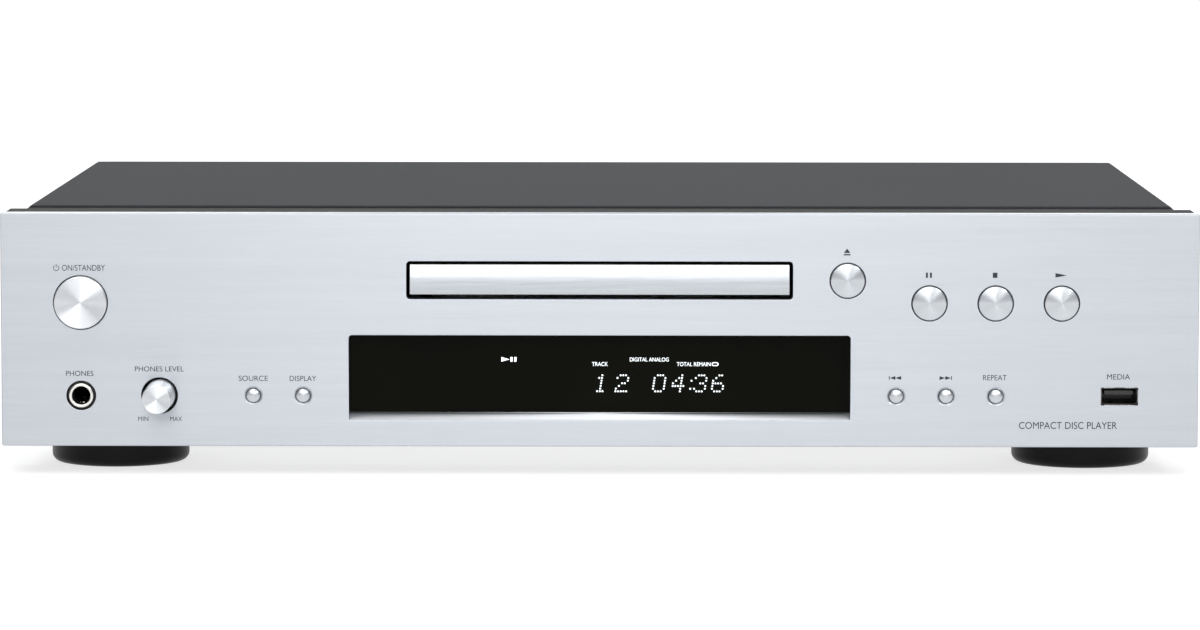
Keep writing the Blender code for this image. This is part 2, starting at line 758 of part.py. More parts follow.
# ---------------------------------------------------------------- disc loader
def make_disc_tray():
    half = TRAY_HALF_WIDTH
    outline = [(half, TRAY_REAR_Y), (SLOT_HALF, TRAY_REAR_Y)]
    outline += arc(0, SPINDLE_Y, SLOT_HALF, 0, -180, 13)
    outline += [(-SLOT_HALF, TRAY_REAR_Y), (-half, TRAY_REAR_Y), (-half, TRAY_FRONT_Y)]
    outline += [(half, TRAY_FRONT_Y)]
    tray = plate("disc_tray", [outline], *TRAY_PLATE_Z, "Z", "black_plastic")
    above = TRAY_PLATE_Z[1] + 2.0
    carve(
        tray,
        cylinder("disc", (0, SPINDLE_Y), DISC_RECESS_R, DISC_SEAT_Z, above, points=36),
        cylinder("single", (0, SPINDLE_Y), SMALL_DISC_RECESS_R, SMALL_DISC_SEAT_Z, above, points=28),
    )
    skirt_z = (67.5, TRAY_PLATE_Z[0] + 0.2)
    skirts = [
        box("skirt", (x - 1.5, x + 1.5), (-128.0, TRAY_REAR_Y - 0.5), skirt_z)
        for x in (-half + 1.6, half - 1.6)
    ]
    front = box("front", (-60.0, 60.0), (TRAY_FRONT_Y + 0.1, TRAY_FRONT_Y + 2.5), (67.2, 70.3))
    teeth = plate(
        "teeth", [rack(RACK_PITCH_X, -62.0, *RACK_Y, DRIVE_Y, RACK_MODULE)], *RACK_Z
    )
    join(tray, *skirts, front, teeth)
    return pivot(tray, 0, TRAY_FRONT_Y, TRAY_PLATE_Z[0])


def make_tray_front():
    """The bright strip on the tray: a shallow channel with a gently bowed face."""
    half, low, high = 68.9, 66.55, 77.55
    back = TRAY_FRONT_Y - GAP
    bow, wall = 0.8, 1.8
    height = high - low
    bow_radius = (height / 2) ** 2 / (2 * bow) + bow / 2
    reach = math.degrees(math.asin(height / 2 / bow_radius))
    centre_y = FACE_Y - bow + bow_radius
    section = arc(centre_y, (low + high) / 2, bow_radius, 180 + reach, 180 - reach, 7)
    section += [(back, high), (back, high - wall), (FACE_Y + wall, high - wall)]
    section += [(FACE_Y + wall, low + wall), (back, low + wall), (back, low)]
    front = plate("tray_front", [section], -half, half, "X", "aluminium")
    return pivot(front, 0, FACE_Y, low)


def make_loader_frame():
    """Moulded base of the loader: a plate with gear posts, side walls, ledges and legs."""
    wall_in, wall_out = 66.2, 69.2
    y0, y1 = -118.0, 36.0
    plate_low, plate_high = FRAME_PLATE_Z
    deck_hole = rectangle(-44.3, 44.3, -97.2, 14.0)
    motor_hole = circle(LOADING_MOTOR_X, DRIVE_Y, 2.5, 12)
    frame = plate(
        "loader_frame",
        [rectangle(-wall_out, wall_out, y0, y1), deck_hole, motor_hole],
        plate_low,
        plate_high,
        "Z",
        "grey_plastic",
    )
    parts = []
    for side in (-1, 1):
        wall = sorted((side * wall_in, side * wall_out))
        ledge = sorted((side * 62.9, side * (wall_in + 0.5)))
        parts.append(box("wall", wall, (y0, y1), (plate_low, 79.0)))
        parts.append(box("ledge", ledge, (y0 + 0.2, y1 - 0.2), (64.8, 67.1)))
        for y in (-104.0, 30.0):
            leg = sorted((side * 59.5, side * 68.5))
            parts.append(box("leg", leg, (y - 4.5, y + 4.5), (FLOOR_Z + SHEET + GAP, plate_low + 0.5)))
        ear = sorted((side * 44.8, side * 48.0))
        ear_block = plate(
            "ear",
            [rectangle(-1, 11, plate_high - 0.5, 66.0), circle(*HINGE_YZ, HINGE_PIN_R + 0.2, 12)],
            *ear,
            "X",
        )
        parts.append(ear_block)
    tray_gear_at, pulley_at = (TRAY_GEAR_X, DRIVE_Y), (PULLEY_GEAR_X, DRIVE_Y)
    parts.append(cylinder("boss", tray_gear_at, 3.5, plate_high - 0.5, 62.6, points=12))
    parts.append(cylinder("post", tray_gear_at, 1.5, 62.0, 69.6, points=12))
    parts.append(cylinder("post", pulley_at, 1.5, plate_high - 0.5, 66.6, points=12))
    return join(frame, *parts)


def make_loading_gears():
    at = (TRAY_GEAR_X, DRIVE_Y)
    bore = circle(*at, 1.7, 12)
    upper = gear(*at, TRAY_GEAR_TEETH, RACK_MODULE, math.pi)
    lower = gear(*at, IDLER_TEETH, IDLER_MODULE, 0.0)
    tray_gear = plate("tray_gear", [upper, bore], 65.8, 69.6, "Z", "white_plastic")
    join(tray_gear, plate("lower", [lower, bore], 63.0, 66.0))
    pivot(tray_gear, *at, 63.0)

    at = (PULLEY_GEAR_X, DRIVE_Y)
    bore_r = 1.7
    groove, flange = BELT_R["pulley"] - GAP, BELT_R["pulley"] + 1.2
    profile = [
        (bore_r, 59.0),
        (flange, 59.0),
        (flange, 59.6),
        (groove, 60.2),
        (groove, 61.4),
        (flange, 62.0),
        (flange, 62.5),
        (bore_r, 62.5),
    ]
    pulley = turned("pulley_gear", profile, at, "Z", "white_plastic", 18)
    gap_towards_idler = math.pi + math.pi / PINION_TEETH
    teeth = gear(*at, PINION_TEETH, IDLER_MODULE, gap_towards_idler)
    join(pulley, plate("teeth", [teeth, circle(*at, bore_r, 24)], 62.3, 66.0))
    pivot(pulley, *at, 59.0)

    at = (LOADING_MOTOR_X, DRIVE_Y)
    groove, flange, shaft = BELT_R["motor"] - GAP, BELT_R["motor"] + 1.2, 1.0
    profile = [
        (0, 56.1),
        (shaft, 56.1),
        (shaft, 59.4),
        (flange, 59.4),
        (groove, 60.2),
        (groove, 61.4),
        (flange, 62.2),
        (0, 62.2),
    ]
    pivot(turned("motor_pulley", profile, at, "Z", "white_plastic", 16), *at, 59.0)


def belt_loop(extra):
    """Outline of the belt around both pulleys, extra outside its inner face."""
    big, small = BELT_R["pulley"] + extra, BELT_R["motor"] + extra
    span = LOADING_MOTOR_X - PULLEY_GEAR_X
    lean = math.degrees(math.acos((big - small) / span))
    loop = arc(PULLEY_GEAR_X, DRIVE_Y, big, lean, 360 - lean, 15)
    return loop + arc(LOADING_MOTOR_X, DRIVE_Y, small, -lean, lean, 7)


def make_loading_drive():
    plate("drive_belt", [belt_loop(BELT_THICK), belt_loop(0.0)], 60.3, 61.3, "Z", "rubber")
    profile = [
        (0, 43.5),
        (3.0, 43.5),
        (3.0, 44.5),
        (12.0, 44.5),
        (12.0, 54.9),
        (3.0, 54.9),
        (3.0, 55.7),
        (0, 55.7),
    ]
    turned("loading_motor", profile, (LOADING_MOTOR_X, DRIVE_Y), "Z", "nickel", 18)


def make_clamp():
    """The steel bridge over the tray and the free puck that holds a disc on the hub."""
    y0, y1 = SPINDLE_Y - 17.0, SPINDLE_Y + 17.0
    low, high = 79.4, 80.6
    hole = circle(0, SPINDLE_Y, 14.0, 24)
    plate(
        "clamp_bridge", [rectangle(-69.2, 69.2, y0, y1, 4.0), hole], low, high, "Z", "zinc_steel"
    )
    profile = [
        (0, 76.2),
        (11.5, 76.2),
        (12.5, 77.2),
        (12.5, high + GAP),
        (16.0, high + GAP),
        (16.0, high + 1.8),
        (10.0, high + 2.8),
        (0, high + 2.8),
    ]
    puck = turned("clamp_puck", profile, (0, SPINDLE_Y), "Z", "white_plastic", 20)
    pivot(puck, 0, SPINDLE_Y, high)


def make_traverse_deck():
    """Pressed deck with hinge pins at the rear, cam pins in front, and posts for the rods."""
    low, high = DECK_Z
    opening = rectangle(-14.0, 16.0, -50.0, 4.0)
    spindle_hole = circle(0, SPINDLE_Y, 5.0, 16)
    pinion_hole = circle(SLED_GEAR_X, SLED_PINION_Y, 1.6, 10)
    deck = plate(
        "traverse_deck",
        [rectangle(-DECK_HALF, DECK_HALF, *DECK_Y, 2.0), opening, spindle_hole, pinion_hole],
        low,
        high,
        "Z",
        "zinc_steel",
    )
    parts = []
    for side in (-1, 1):
        pin = sorted((side * (DECK_HALF - 2.0), side * 47.6))
        parts.append(cylinder("hinge_pin", HINGE_YZ, HINGE_PIN_R, *pin, "X", points=12))
        boss = sorted((side * (DECK_HALF - 4.0), side * DECK_HALF))
        boss_section = rectangle(HINGE_YZ[0] - 2.5, HINGE_YZ[0] + 2.5, low, high + 1.5)
        parts.append(plate("boss", [boss_section], *boss, "X"))
        x = side * ROD_X
        for y in (-58.0, 5.0):
            post = [
                rectangle(x - 3.0, x + 3.0, high - 0.5, ROD_Z + 2.6),
                circle(x, ROD_Z, ROD_R + 0.15, 12),
            ]
            parts.append(plate("post", post, y - 1.3, y + 1.3, "Y"))
    for x in CAM_PIN_X:
        parts.append(cylinder("cam_pin", (x, 61.0), CAM_PIN_R, CAM_Y[0] + 0.1, -91.0, "Y", points=12))
        parts.append(box("cam_boss", (x - 3, x + 3), (DECK_Y[0], -90.0), (low, high + 1.2)))
    parts.append(
        cylinder("gear_post", (SLED_GEAR_X, SLED_GEAR_Y), 1.0, high - 0.5, 67.2, points=10)
    )
    join(deck, *parts)
    return pivot(deck, 0, *HINGE_YZ)


def make_cam_slider():
    """A plate that moves sideways; its slanted slots carry the deck's front pins."""
    drop = (HINGE_YZ[0] - (CAM_Y[0] + CAM_Y[1]) / 2) * math.sin(math.radians(TILT_DEG))
    slope = math.atan2(drop, CAM_TRAVEL)
    width = CAM_PIN_R + 0.35
    slots = []
    for x in CAM_PIN_X:
        top = arc(x, 61.0, width, math.degrees(slope) - 90, math.degrees(slope) + 90, 6)
        low = arc(
            x - CAM_TRAVEL,
            61.0 - drop,
            width,
            math.degrees(slope) + 90,
            math.degrees(slope) + 270,
            6,
        )
        slots.append(top + low)
    outline = rectangle(-37.0, 27.0, 47.0, 65.5, 2.0)
    slider = plate("cam_slider", [outline] + slots, *CAM_Y, "Y", "white_plastic")
    return pivot(slider, 0, CAM_Y[0], 61.0)


def make_spindle():
    profile = [
        (0, 50.0),
        (4.0, 50.0),
        (4.0, 51.2),
        (12.0, 51.2),
        (12.0, 59.2),
        (4.5, 59.2),
        (4.5, 59.7),
        (0, 59.7),
    ]
    turned("spindle_motor", profile, (0, SPINDLE_Y), "Z", "nickel", 18)
    hub = [
        (0, 60.2),
        (1.0, 60.2),
        (1.0, 63.0),
        (4.0, 63.0),
        (4.0, 71.2),
        (15.0, 72.2),
        (15.0, 74.6),
        (7.4, 74.6),
        (7.4, 75.2),
        (6.2, 75.9),
        (0, 75.9),
    ]
    pivot(turned("turntable", hub, (0, SPINDLE_Y), "Z", "black_plastic", 20), 0, SPINDLE_Y, 60.2)


def make_pickup():
    """Laser pickup: a body on two rods, its lens, and the rack that the sled gear drives."""
    pickup = box("pickup", (-13.0, 13.0), (LENS_Y - 11, LENS_Y + 11), (62.6, 69.4), "zinc_steel")
    clearance = 0.15
    arm_y = (LENS_Y - 8.0, LENS_Y + 8.0)
    left = plate(
        "left",
        [
            rectangle(-27.0, -12.5, 64.1, 68.4),
            circle(-ROD_X, ROD_Z, ROD_R + clearance, 12),
        ],
        *arm_y,
        "Y",
    )
    fork = ROD_R + clearance
    right_section = [
        (12.5, 63.6),
        (23.0, 63.6),
        (23.0, ROD_Z - fork),
        (ROD_X - 3.0, ROD_Z - fork),
        (ROD_X - 3.0, ROD_Z + fork),
        (23.0, ROD_Z + fork),
        (23.0, 68.0),
        (12.5, 68.0),
    ]
    right = plate("right", [right_section], *arm_y, "Y")
    rack_bar = plate(
        "rack_bar",
        [rack(SLED_RACK_X, -26.2, *SLED_RACK_Y, SLED_GEAR_Y, SLED_MODULE)],
        64.3,
        66.5,
    )
    lens_mount = cylinder("lens_mount", (0, LENS_Y), 6.5, 69.0, 70.6, points=16)
    lens = cylinder("lens", (0, LENS_Y), 2.6, 70.2, 71.9, points=16)
    join(pickup, left, right, rack_bar, lens_mount, lens)
    return pivot(pickup, 0, LENS_Y, ROD_Z)


def make_sled_drive():
    for side, word in ((-1, "left"), (1, "right")):
        rod_at = (side * ROD_X, ROD_Z)
        cylinder(f"guide_rod_{word}", rod_at, ROD_R, *ROD_Y, "Y", "nickel", 12)
    at = (SLED_GEAR_X, SLED_GEAR_Y)
    bore = circle(*at, 1.2, 10)
    small = gear(*at, SLED_TEETH, SLED_MODULE, 0.0)
    wheel = gear(*at, SLED_WHEEL_TEETH, SLED_WHEEL_MODULE, -math.pi / 2)
    sled_gear = plate("sled_gear", [small, bore], 63.6, 66.8, "Z", "white_plastic")
    join(sled_gear, plate("wheel", [wheel, bore], 62.4, 63.8))
    pivot(sled_gear, *at, 62.4)

    at = (SLED_GEAR_X, SLED_PINION_Y)
    gap_towards_wheel = math.pi / 2 + math.pi / SLED_PINION_TEETH
    teeth = gear(*at, SLED_PINION_TEETH, SLED_WHEEL_MODULE, gap_towards_wheel)
    pinion = plate("sled_pinion", [teeth], 62.4, 64.0, "Z", "nickel")
    join(pinion, cylinder("shaft", at, 0.75, 60.1, 62.6, points=10))
    pivot(pinion, *at, 62.4)
    turned(
        "sled_motor",
        [(0, 46.5), (7.5, 46.5), (7.5, 59.0), (3.0, 59.0), (3.0, 59.6), (0, 59.6)],
        at,
        "Z",
        "nickel",
        20,
    )


# ---------------------------------------------------------------- electronics and rear
def make_transformer():
    """Mains transformer: a laminated core with two windows, and a winding on its middle leg."""
    x, z = -150.0, 45.0
    windows = [centred(x + side * 18.0, z, 14.0, 34.0) for side in (-1, 1)]
    core = plate(
        "transformer_core",
        [centred(x, z, 72.0, 58.0)] + windows,
        42.0,
        70.0,
        "Y",
        "laminated_steel",
    )
    foot = box("foot", (x - 36, x + 36), (34.0, 78.0), (FLOOR_Z + SHEET + GAP, 17.4))
    join(core, foot)
    half_leg = 11.0 + GAP
    outer = centred(x, 56.0, 49.0, 53.0, 4.0)
    inner = rectangle(x - half_leg, x + half_leg, 42.0 - GAP, 70.0 + GAP)
    plate("transformer_coil", [outer, inner], z - 16.5, z + 16.5, "Z", "copper")


def make_power_board():
    """Supply board with its two reservoir capacitors, heat sink and fuse, all soldered on."""
    z0 = MAIN_BOARD_Z
    z1 = z0 + BOARD
    board = plate(
        "power_board", [rectangle(-200.0, -92.0, -85.0, 15.0)], z0, z1, "Z", "circuit_board"
    )
    parts = [
        cylinder("capacitor", (x, -10.0), 9.0, z1 - 0.3, z1 + 32.0, points=16)
        for x in (-180.0, -155.0)
    ]
    parts.append(box("heatsink", (-130.0, -100.0), (-40.0, -36.0), (z1 - 0.3, z1 + 38.0)))
    for i in range(5):
        x = -128.0 + 6.5 * i
        parts.append(box("fin", (x - 0.8, x + 0.8), (-36.5, -26.0), (z1 - 0.3, z1 + 38.0)))
    parts.append(box("fuse", (-195.0, -173.0), (-78.0, -70.0), (z1 - 0.3, z1 + 8.0)))
    for x, y in ((-195, -80), (-97, -80), (-195, 10), (-97, 10)):
        parts.append(cylinder("leg", (x, y), 2.5, FLOOR_Z + SHEET + GAP, z0 + 0.3, points=8))
    return join(board, *parts)


def make_audio_board():
    """Digital-to-analog board: chips and coupling capacitors soldered to one board."""
    z0 = MAIN_BOARD_Z
    z1 = z0 + BOARD
    board = plate(
        "audio_board", [rectangle(92.0, 200.0, -40.0, 126.0)], z0, z1, "Z", "circuit_board"
    )
    parts = [
        cylinder("capacitor", (x, y), 5.0, z1 - 0.3, z1 + 14.0, points=12)
        for x in (128.0, 144.0, 160.0)
        for y in (60.0, 84.0)
    ]
    for x, y, side in ((130.0, 0.0, 14.0), (165.0, 20.0, 9.0), (165.0, -15.0, 10.0)):
        chip = rectangle(x - side / 2, x + side / 2, y - side / 2, y + side / 2)
        parts.append(plate("chip", [chip], z1 - 0.3, z1 + 1.8))
    for x, y in ((97, -35), (195, -35), (97, 120), (195, 120)):
        parts.append(cylinder("leg", (x, y), 2.5, FLOOR_Z + SHEET + GAP, z0 + 0.3, points=8))
    return join(board, *parts)


def pin_jack(name, centres, x, z):
    """Phono sockets on one block: a collar through the rear panel, then a bored sleeve."""
    inside = REAR_Y - COVER_SHEET - GAP
    collar, sleeve, bore = 6.3, 4.1, 1.7
    end = REAR_Y + JACK_REACH
    profile = [
        (0, inside - 8.0),
        (collar, inside - 8.0),
        (collar, REAR_Y + 2.0),
        (sleeve, REAR_Y + 2.0),
        (sleeve, end - 0.4),
        (sleeve - 0.4, end),
        (0, end),
    ]
    jack = plate(name, [rectangle(*x, *z)], 128.0, inside, "Y", "nickel")
    join(jack, *[turned("sleeve", profile, at, "Y", points=14) for at in centres])
    bore_y = (inside - 8.0, end + 1.0)
    return carve(jack, *[cylinder("bore", at, bore, *bore_y, "Y", points=10) for at in centres])


def make_rear_connectors():
    (x, high), (_, low) = ANALOG_AT
    pin_jack("analog_jacks", ANALOG_AT, (x - 8, x + 8), (low - 9, high + 9))
    x, z = COAXIAL_AT
    pin_jack("coaxial_jack", [COAXIAL_AT], (x - 7, x + 7), (z - 8, z + 8))

    x, z = OPTICAL_AT
    optical = plate("optical_jack", [centred(x, z, 11.2, 11.2)], 130.0, 146.0, "Y")
    carve(optical, plate("cavity", [centred(x, z, 9.2, 9.2)], 134.5, 150.0, "Y"))
    hinge = (144.6, z + 4.0)
    shutter = plate(
        "optical_shutter",
        [rectangle(x - 4.3, x + 4.3, z - 4.2, z + 4.2)],
        hinge[0] - 0.4,
        hinge[0] + 0.4,
        "Y",
        "grey_plastic",
    )
    pivot(shutter, x, *hinge)

    x, z = INLET_AT
    inlet = plate("ac_inlet", [centred(x, z, 27.0, 19.8, 2.0)], 124.0, REAR_Y + 0.5, "Y")
    rim_plate = plate("rim", [centred(x, z, 32.0, 25.0, 3.0)], REAR_Y + GAP, REAR_Y + 2.8, "Y")
    join(inlet, rim_plate)
    carve(inlet, plate("cavity", [centred(x, z, 24.0, 16.4, 3.0)], 128.0, 160.0, "Y"))
    pins = [
        plate("pin", [centred(x + dx, z + dz, 2.0, 4.0)], 127.0, REAR_Y - 1.5, "Y")
        for dx, dz in ((-7.0, -2.0), (7.0, -2.0), (0.0, 2.0))
    ]
    join(inlet, *pins)


def build():
    clear_scene()
    make_front_panel()
    make_front_bezel()
    make_display()
    make_chassis()
    make_top_cover()
    make_cover_screws()
    make_rear_panel()
    make_feet()
    make_buttons()
    make_level_control()
    make_phones_jack()
    make_usb_port()
    make_front_board()
    make_disc_tray()
    make_tray_front()
    make_loader_frame()
    make_loading_gears()
    make_loading_drive()
    make_clamp()
    make_traverse_deck()
    make_cam_slider()
    make_spindle()
    make_pickup()
    make_sled_drive()
    make_transformer()
    make_power_board()
    make_audio_board()
    make_rear_connectors()


build()
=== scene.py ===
"""Looks of a full-width CD player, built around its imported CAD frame."""

import json
import math

import bmesh
import bpy
from mathutils import Matrix, Vector
from mathutils.geometry import delaunay_2d_cdt


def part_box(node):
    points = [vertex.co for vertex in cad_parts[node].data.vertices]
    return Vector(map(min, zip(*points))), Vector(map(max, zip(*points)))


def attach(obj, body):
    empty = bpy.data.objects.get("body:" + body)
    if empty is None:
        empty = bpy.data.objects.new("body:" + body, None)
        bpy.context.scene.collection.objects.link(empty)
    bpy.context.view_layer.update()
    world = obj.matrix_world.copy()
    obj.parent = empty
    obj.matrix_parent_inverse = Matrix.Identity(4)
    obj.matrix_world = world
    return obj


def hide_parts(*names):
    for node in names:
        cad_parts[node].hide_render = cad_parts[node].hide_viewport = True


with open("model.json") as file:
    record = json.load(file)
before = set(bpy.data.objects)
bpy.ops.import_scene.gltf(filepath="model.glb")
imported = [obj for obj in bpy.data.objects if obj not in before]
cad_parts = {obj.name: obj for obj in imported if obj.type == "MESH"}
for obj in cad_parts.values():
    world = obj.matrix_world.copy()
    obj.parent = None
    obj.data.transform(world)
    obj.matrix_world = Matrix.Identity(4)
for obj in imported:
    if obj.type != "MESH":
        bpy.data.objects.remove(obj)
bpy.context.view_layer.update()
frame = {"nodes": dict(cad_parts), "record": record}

MM = 0.001
SHARP = math.radians(32)  # edges that turn more than this keep a crease


def box_mm(node):
    low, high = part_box(node)
    return low / MM, high / MM


def middle(node):
    low, high = box_mm(node)
    return (low + high) / 2


def spot(node):
    """A node's lowest and highest corners, and its middle."""
    return (*box_mm(node), middle(node))


# ---- outlines, in millimetres
def circle(x, y, radius, points=72):
    turn = math.tau / points
    angles = [i * turn for i in range(points)]
    return [(x + radius * math.cos(a), y + radius * math.sin(a)) for a in angles]


def arc(x, y, radius, first, last, points):
    """Points round part of a circle, from the angle first to last, in degrees."""
    angles = [math.radians(first + (last - first) * i / (points - 1)) for i in range(points)]
    return [(x + radius * math.cos(a), y + radius * math.sin(a)) for a in angles]


def oblong(x0, x1, y0, y1, radius=0.0, points=6, radii=None):
    """A rectangle with round corners. radii may give the four in turn: low x high y, low x low y,
    high x low y and high x high y."""
    a, b, c, d = radii or (radius,) * 4
    loop = []
    for x, y, r, first in ((x1, y1, d, 0), (x0, y1, a, 90), (x0, y0, b, 180), (x1, y0, c, 270)):
        if r == 0:
            loop.append((x, y))
            continue
        cx = x - r if x == x1 else x + r
        cy = y - r if y == y1 else y + r
        loop += arc(cx, cy, r, first, first + 90, points)
    return loop


def about(centre, reach):
    return centre - reach, centre + reach


def around(x, y, width, height, radius=0.0):
    return oblong(*about(x, width / 2), *about(y, height / 2), radius)


MITRE_LIMIT = 0.2  # keeps the point of a sharp corner from running away
CORNER_SHARE = 0.45  # the most of a side that one rounded corner takes


def area(loop):
    return sum(a[0] * b[1] - b[0] * a[1] for a, b in zip(loop, loop[1:] + loop[:1])) / 2


def swollen(loop, amount):
    """The loop moved outwards by amount, or inwards where it is negative."""
    if amount == 0:
        return list(loop)
    turn = 1 if area(loop) > 0 else -1
    moved = []
    for before, here, after in zip(loop[-1:] + loop[:-1], loop, loop[1:] + loop[:1]):
        first = (Vector(here) - Vector(before)).normalized()
        second = (Vector(after) - Vector(here)).normalized()
        a, b = Vector((first.y, -first.x)) * turn, Vector((second.y, -second.x)) * turn
        mitre = a + b
        mitre /= max(mitre.length_squared / 2, MITRE_LIMIT)
        moved.append(tuple(Vector(here) + mitre * amount))
    return moved


def softened(points, radius, closed=True, steps=4):
    """The outline with each corner rounded. radius is one number, or one for each point."""
    radii = radius if isinstance(radius, (list, tuple)) else [radius] * len(points)
    made = []
    for i, (here, r) in enumerate(zip(points, radii)):
        here = Vector(here)
        if r == 0 or (not closed and i in (0, len(points) - 1)):
            made.append(tuple(here))
            continue
        before = Vector(points[i - 1]) - here
        after = Vector(points[(i + 1) % len(points)]) - here
        reach = min(r, CORNER_SHARE * before.length, CORNER_SHARE * after.length)
        start, end = here + before.normalized() * reach, here + after.normalized() * reach
        for k in range(steps + 1):
            t = k / steps
            made.append(tuple(start * (1 - t) ** 2 + here * 2 * t * (1 - t) + end * t * t))
    return made


# ---- solids
TURN = {  # from an outline's own plane to the plane across each axis
    "Z": Matrix.Identity(4),
    "Y": Matrix(((1, 0, 0, 0), (0, 0, 1, 0), (0, 1, 0, 0), (0, 0, 0, 1))),
    "X": Matrix(((0, 0, 1, 0), (1, 0, 0, 0), (0, 1, 0, 0), (0, 0, 0, 1))),
}
WELD = 1e-5  # points closer than this are one
TINY = 1e-6  # a length too short to matter


def linked(name, data):
    obj = bpy.data.objects.new(name, data)
    bpy.context.scene.collection.objects.link(obj)
    return obj


def made_object(name, bm, axis="Z"):
    """The object of a mesh in millimetres, with its outline's plane turned across the axis."""
    bmesh.ops.remove_doubles(bm, verts=bm.verts, dist=WELD)
    bmesh.ops.recalc_face_normals(bm, faces=bm.faces)
    mesh = bpy.data.meshes.new(name)
    bm.to_mesh(mesh)
    bm.free()
    mesh.transform(TURN[axis])
    mesh.transform(Matrix.Scale(MM, 4))
    if axis != "Z":  # those turns are mirrors in disguise
        mesh.flip_normals()
    shade(mesh)
    return linked(name, mesh)


def shade(mesh):
    """Smooth faces, with a crease where they turn sharply."""
    mesh.polygons.foreach_set("use_smooth", [True] * len(mesh.polygons))
    mesh.set_sharp_from_angle(angle=SHARP)


def inside(x, y, loop):
    """Whether the point is within the loop, by counting the sides to the right of it."""
    crossings = 0
    for (x0, y0), (x1, y1) in zip(loop, loop[1:] + loop[:1]):
        if (y0 > y) != (y1 > y) and x < x0 + (y - y0) * (x1 - x0) / (y1 - y0):
            crossings += 1
    return crossings % 2 == 1


def cap(loops):
    """Triangles between an outline and its holes, as numbers of the loops' points in order."""
    points = [Vector(p) for loop in loops for p in loop]
    edges = []
    for loop in loops:
        first = len(edges)
        edges += [(first + i, first + (i + 1) % len(loop)) for i in range(len(loop))]
    corners, _, faces, origin, *_ = delaunay_2d_cdt(points, edges, [], 0, TINY)
    kept = []
    for face in faces:
        centre = sum((corners[i] for i in face), Vector((0, 0))) / 3
        if sum(inside(centre.x, centre.y, loop) for loop in loops) % 2:
            kept.append([origin[i][0] for i in face])
    return kept


COUNTERSINK = 0.6  # a rim wider than this is a shallow cone, not a rounding
SINK_SLOPE = 0.4  # how deep that cone is for its width
RIM_SHARES = (0.134, 0.5, 1.0)  # how deep the rings of points on a rounding lie, for its radius


def swell_at(depth, thick, front, back):
    """How far a loop has moved outwards at this depth, for edges rounded by front and back."""
    total = 0.0
    for radius, away in ((front, depth), (back, thick - depth)):
        r = abs(radius)
        if r > COUNTERSINK:
            total += math.copysign(max(0.0, r - away / SINK_SLOPE), radius)
        elif away < r:
            total += math.copysign(r - math.sqrt(r * r - (r - away) ** 2), radius)
    return total


def slab(name, outline, low, high, axis="Z", holes=(), rim=(0.2, 0.2), edge=(0.1, 0.1)):
    """A flat piece from low to high with rounded edges. rim rounds the outline at low and high, and
    edge rounds the holes. A hole is a loop, or (loop, its radius at low, its radius at high)."""
    shapes = [(outline, -rim[0], -rim[1])]
    shapes += [(h, *edge) if isinstance(h[0][0], (int, float)) else h for h in holes]
    thick = high - low
    depths = {0.0, thick}
    for _, front, back in shapes:
        for share in RIM_SHARES:
            depths |= {round(abs(front) * share, 5), round(thick - abs(back) * share, 5)}
        if abs(front) > COUNTERSINK:
            depths.add(round(abs(front) * SINK_SLOPE, 5))
    depths = sorted(d for d in depths if 0 <= d <= thick)
    bm = bmesh.new()
    rings = []
    for depth in depths:
        loops = [swollen(s, swell_at(depth, thick, a, b)) for s, a, b in shapes]
        rings.append(([bm.verts.new((x, y, low + depth)) for lp in loops for x, y in lp], loops))
    for verts, loops in (rings[0], rings[-1]):
        for face in cap(loops):
            bm.faces.new([verts[i] for i in face])
    first = 0
    for loop, _, _ in shapes:
        count = len(loop)
        for (near, _), (far, _) in zip(rings, rings[1:]):
            for i in range(count):
                a, b = first + i, first + (i + 1) % count
                bm.faces.new((near[a], near[b], far[b], far[a]))
        first += count
    return made_object(name, bm, axis)


def turned(name, profile, at=(0, 0), axis="Y", steps=96):
    """A turned piece. profile is a closed outline of (radius, position along the axis)."""
    bm = bmesh.new()
    rings = []
    for radius, along in profile:
        if radius < TINY:
            rings.append([bm.verts.new((*at, along))] * steps)
        else:
            rings.append([bm.verts.new((x, y, along)) for x, y in circle(*at, radius, steps)])
    for near, far in zip(rings, rings[1:] + rings[:1]):
        for i in range(steps):
            j = (i + 1) % steps
            corners = list(dict.fromkeys((near[i], near[j], far[j], far[i])))
            if len(corners) > 2:
                bm.faces.new(corners)
    return made_object(name, bm, axis)


def block(name, x, y, z, edge=0.15):
    """A box with rounded edges, between the limits on each axis."""
    return slab(name, oblong(*x, *y, edge, 3), *z, "Z", rim=(edge, edge))


def merged(name, *objects):
    """One object of several closed bodies."""
    bm = bmesh.new()
    for obj in objects:
        bm.from_mesh(obj.data)
        bpy.data.objects.remove(obj)
    mesh = bpy.data.meshes.new(name)
    bm.to_mesh(mesh)
    bm.free()
    shade(mesh)
    return linked(name, mesh)


def boolean(target, operation, *others):
    """Cuts the others from the target, or joins them to it, and uses them up."""
    for other in others:
        modifier = target.modifiers.new("boolean", "BOOLEAN")
        modifier.operation, modifier.solver, modifier.object = operation, "EXACT", other
    bpy.context.view_layer.update()
    graph = bpy.context.evaluated_depsgraph_get()
    mesh = bpy.data.meshes.new_from_object(target.evaluated_get(graph))
    target.modifiers.clear()
    target.data = mesh
    for other in others:
        bpy.data.objects.remove(other)
    shade(mesh)
    return target


INK_DEPTH = 0.03  # how far print stands out from its surface, and reaches in


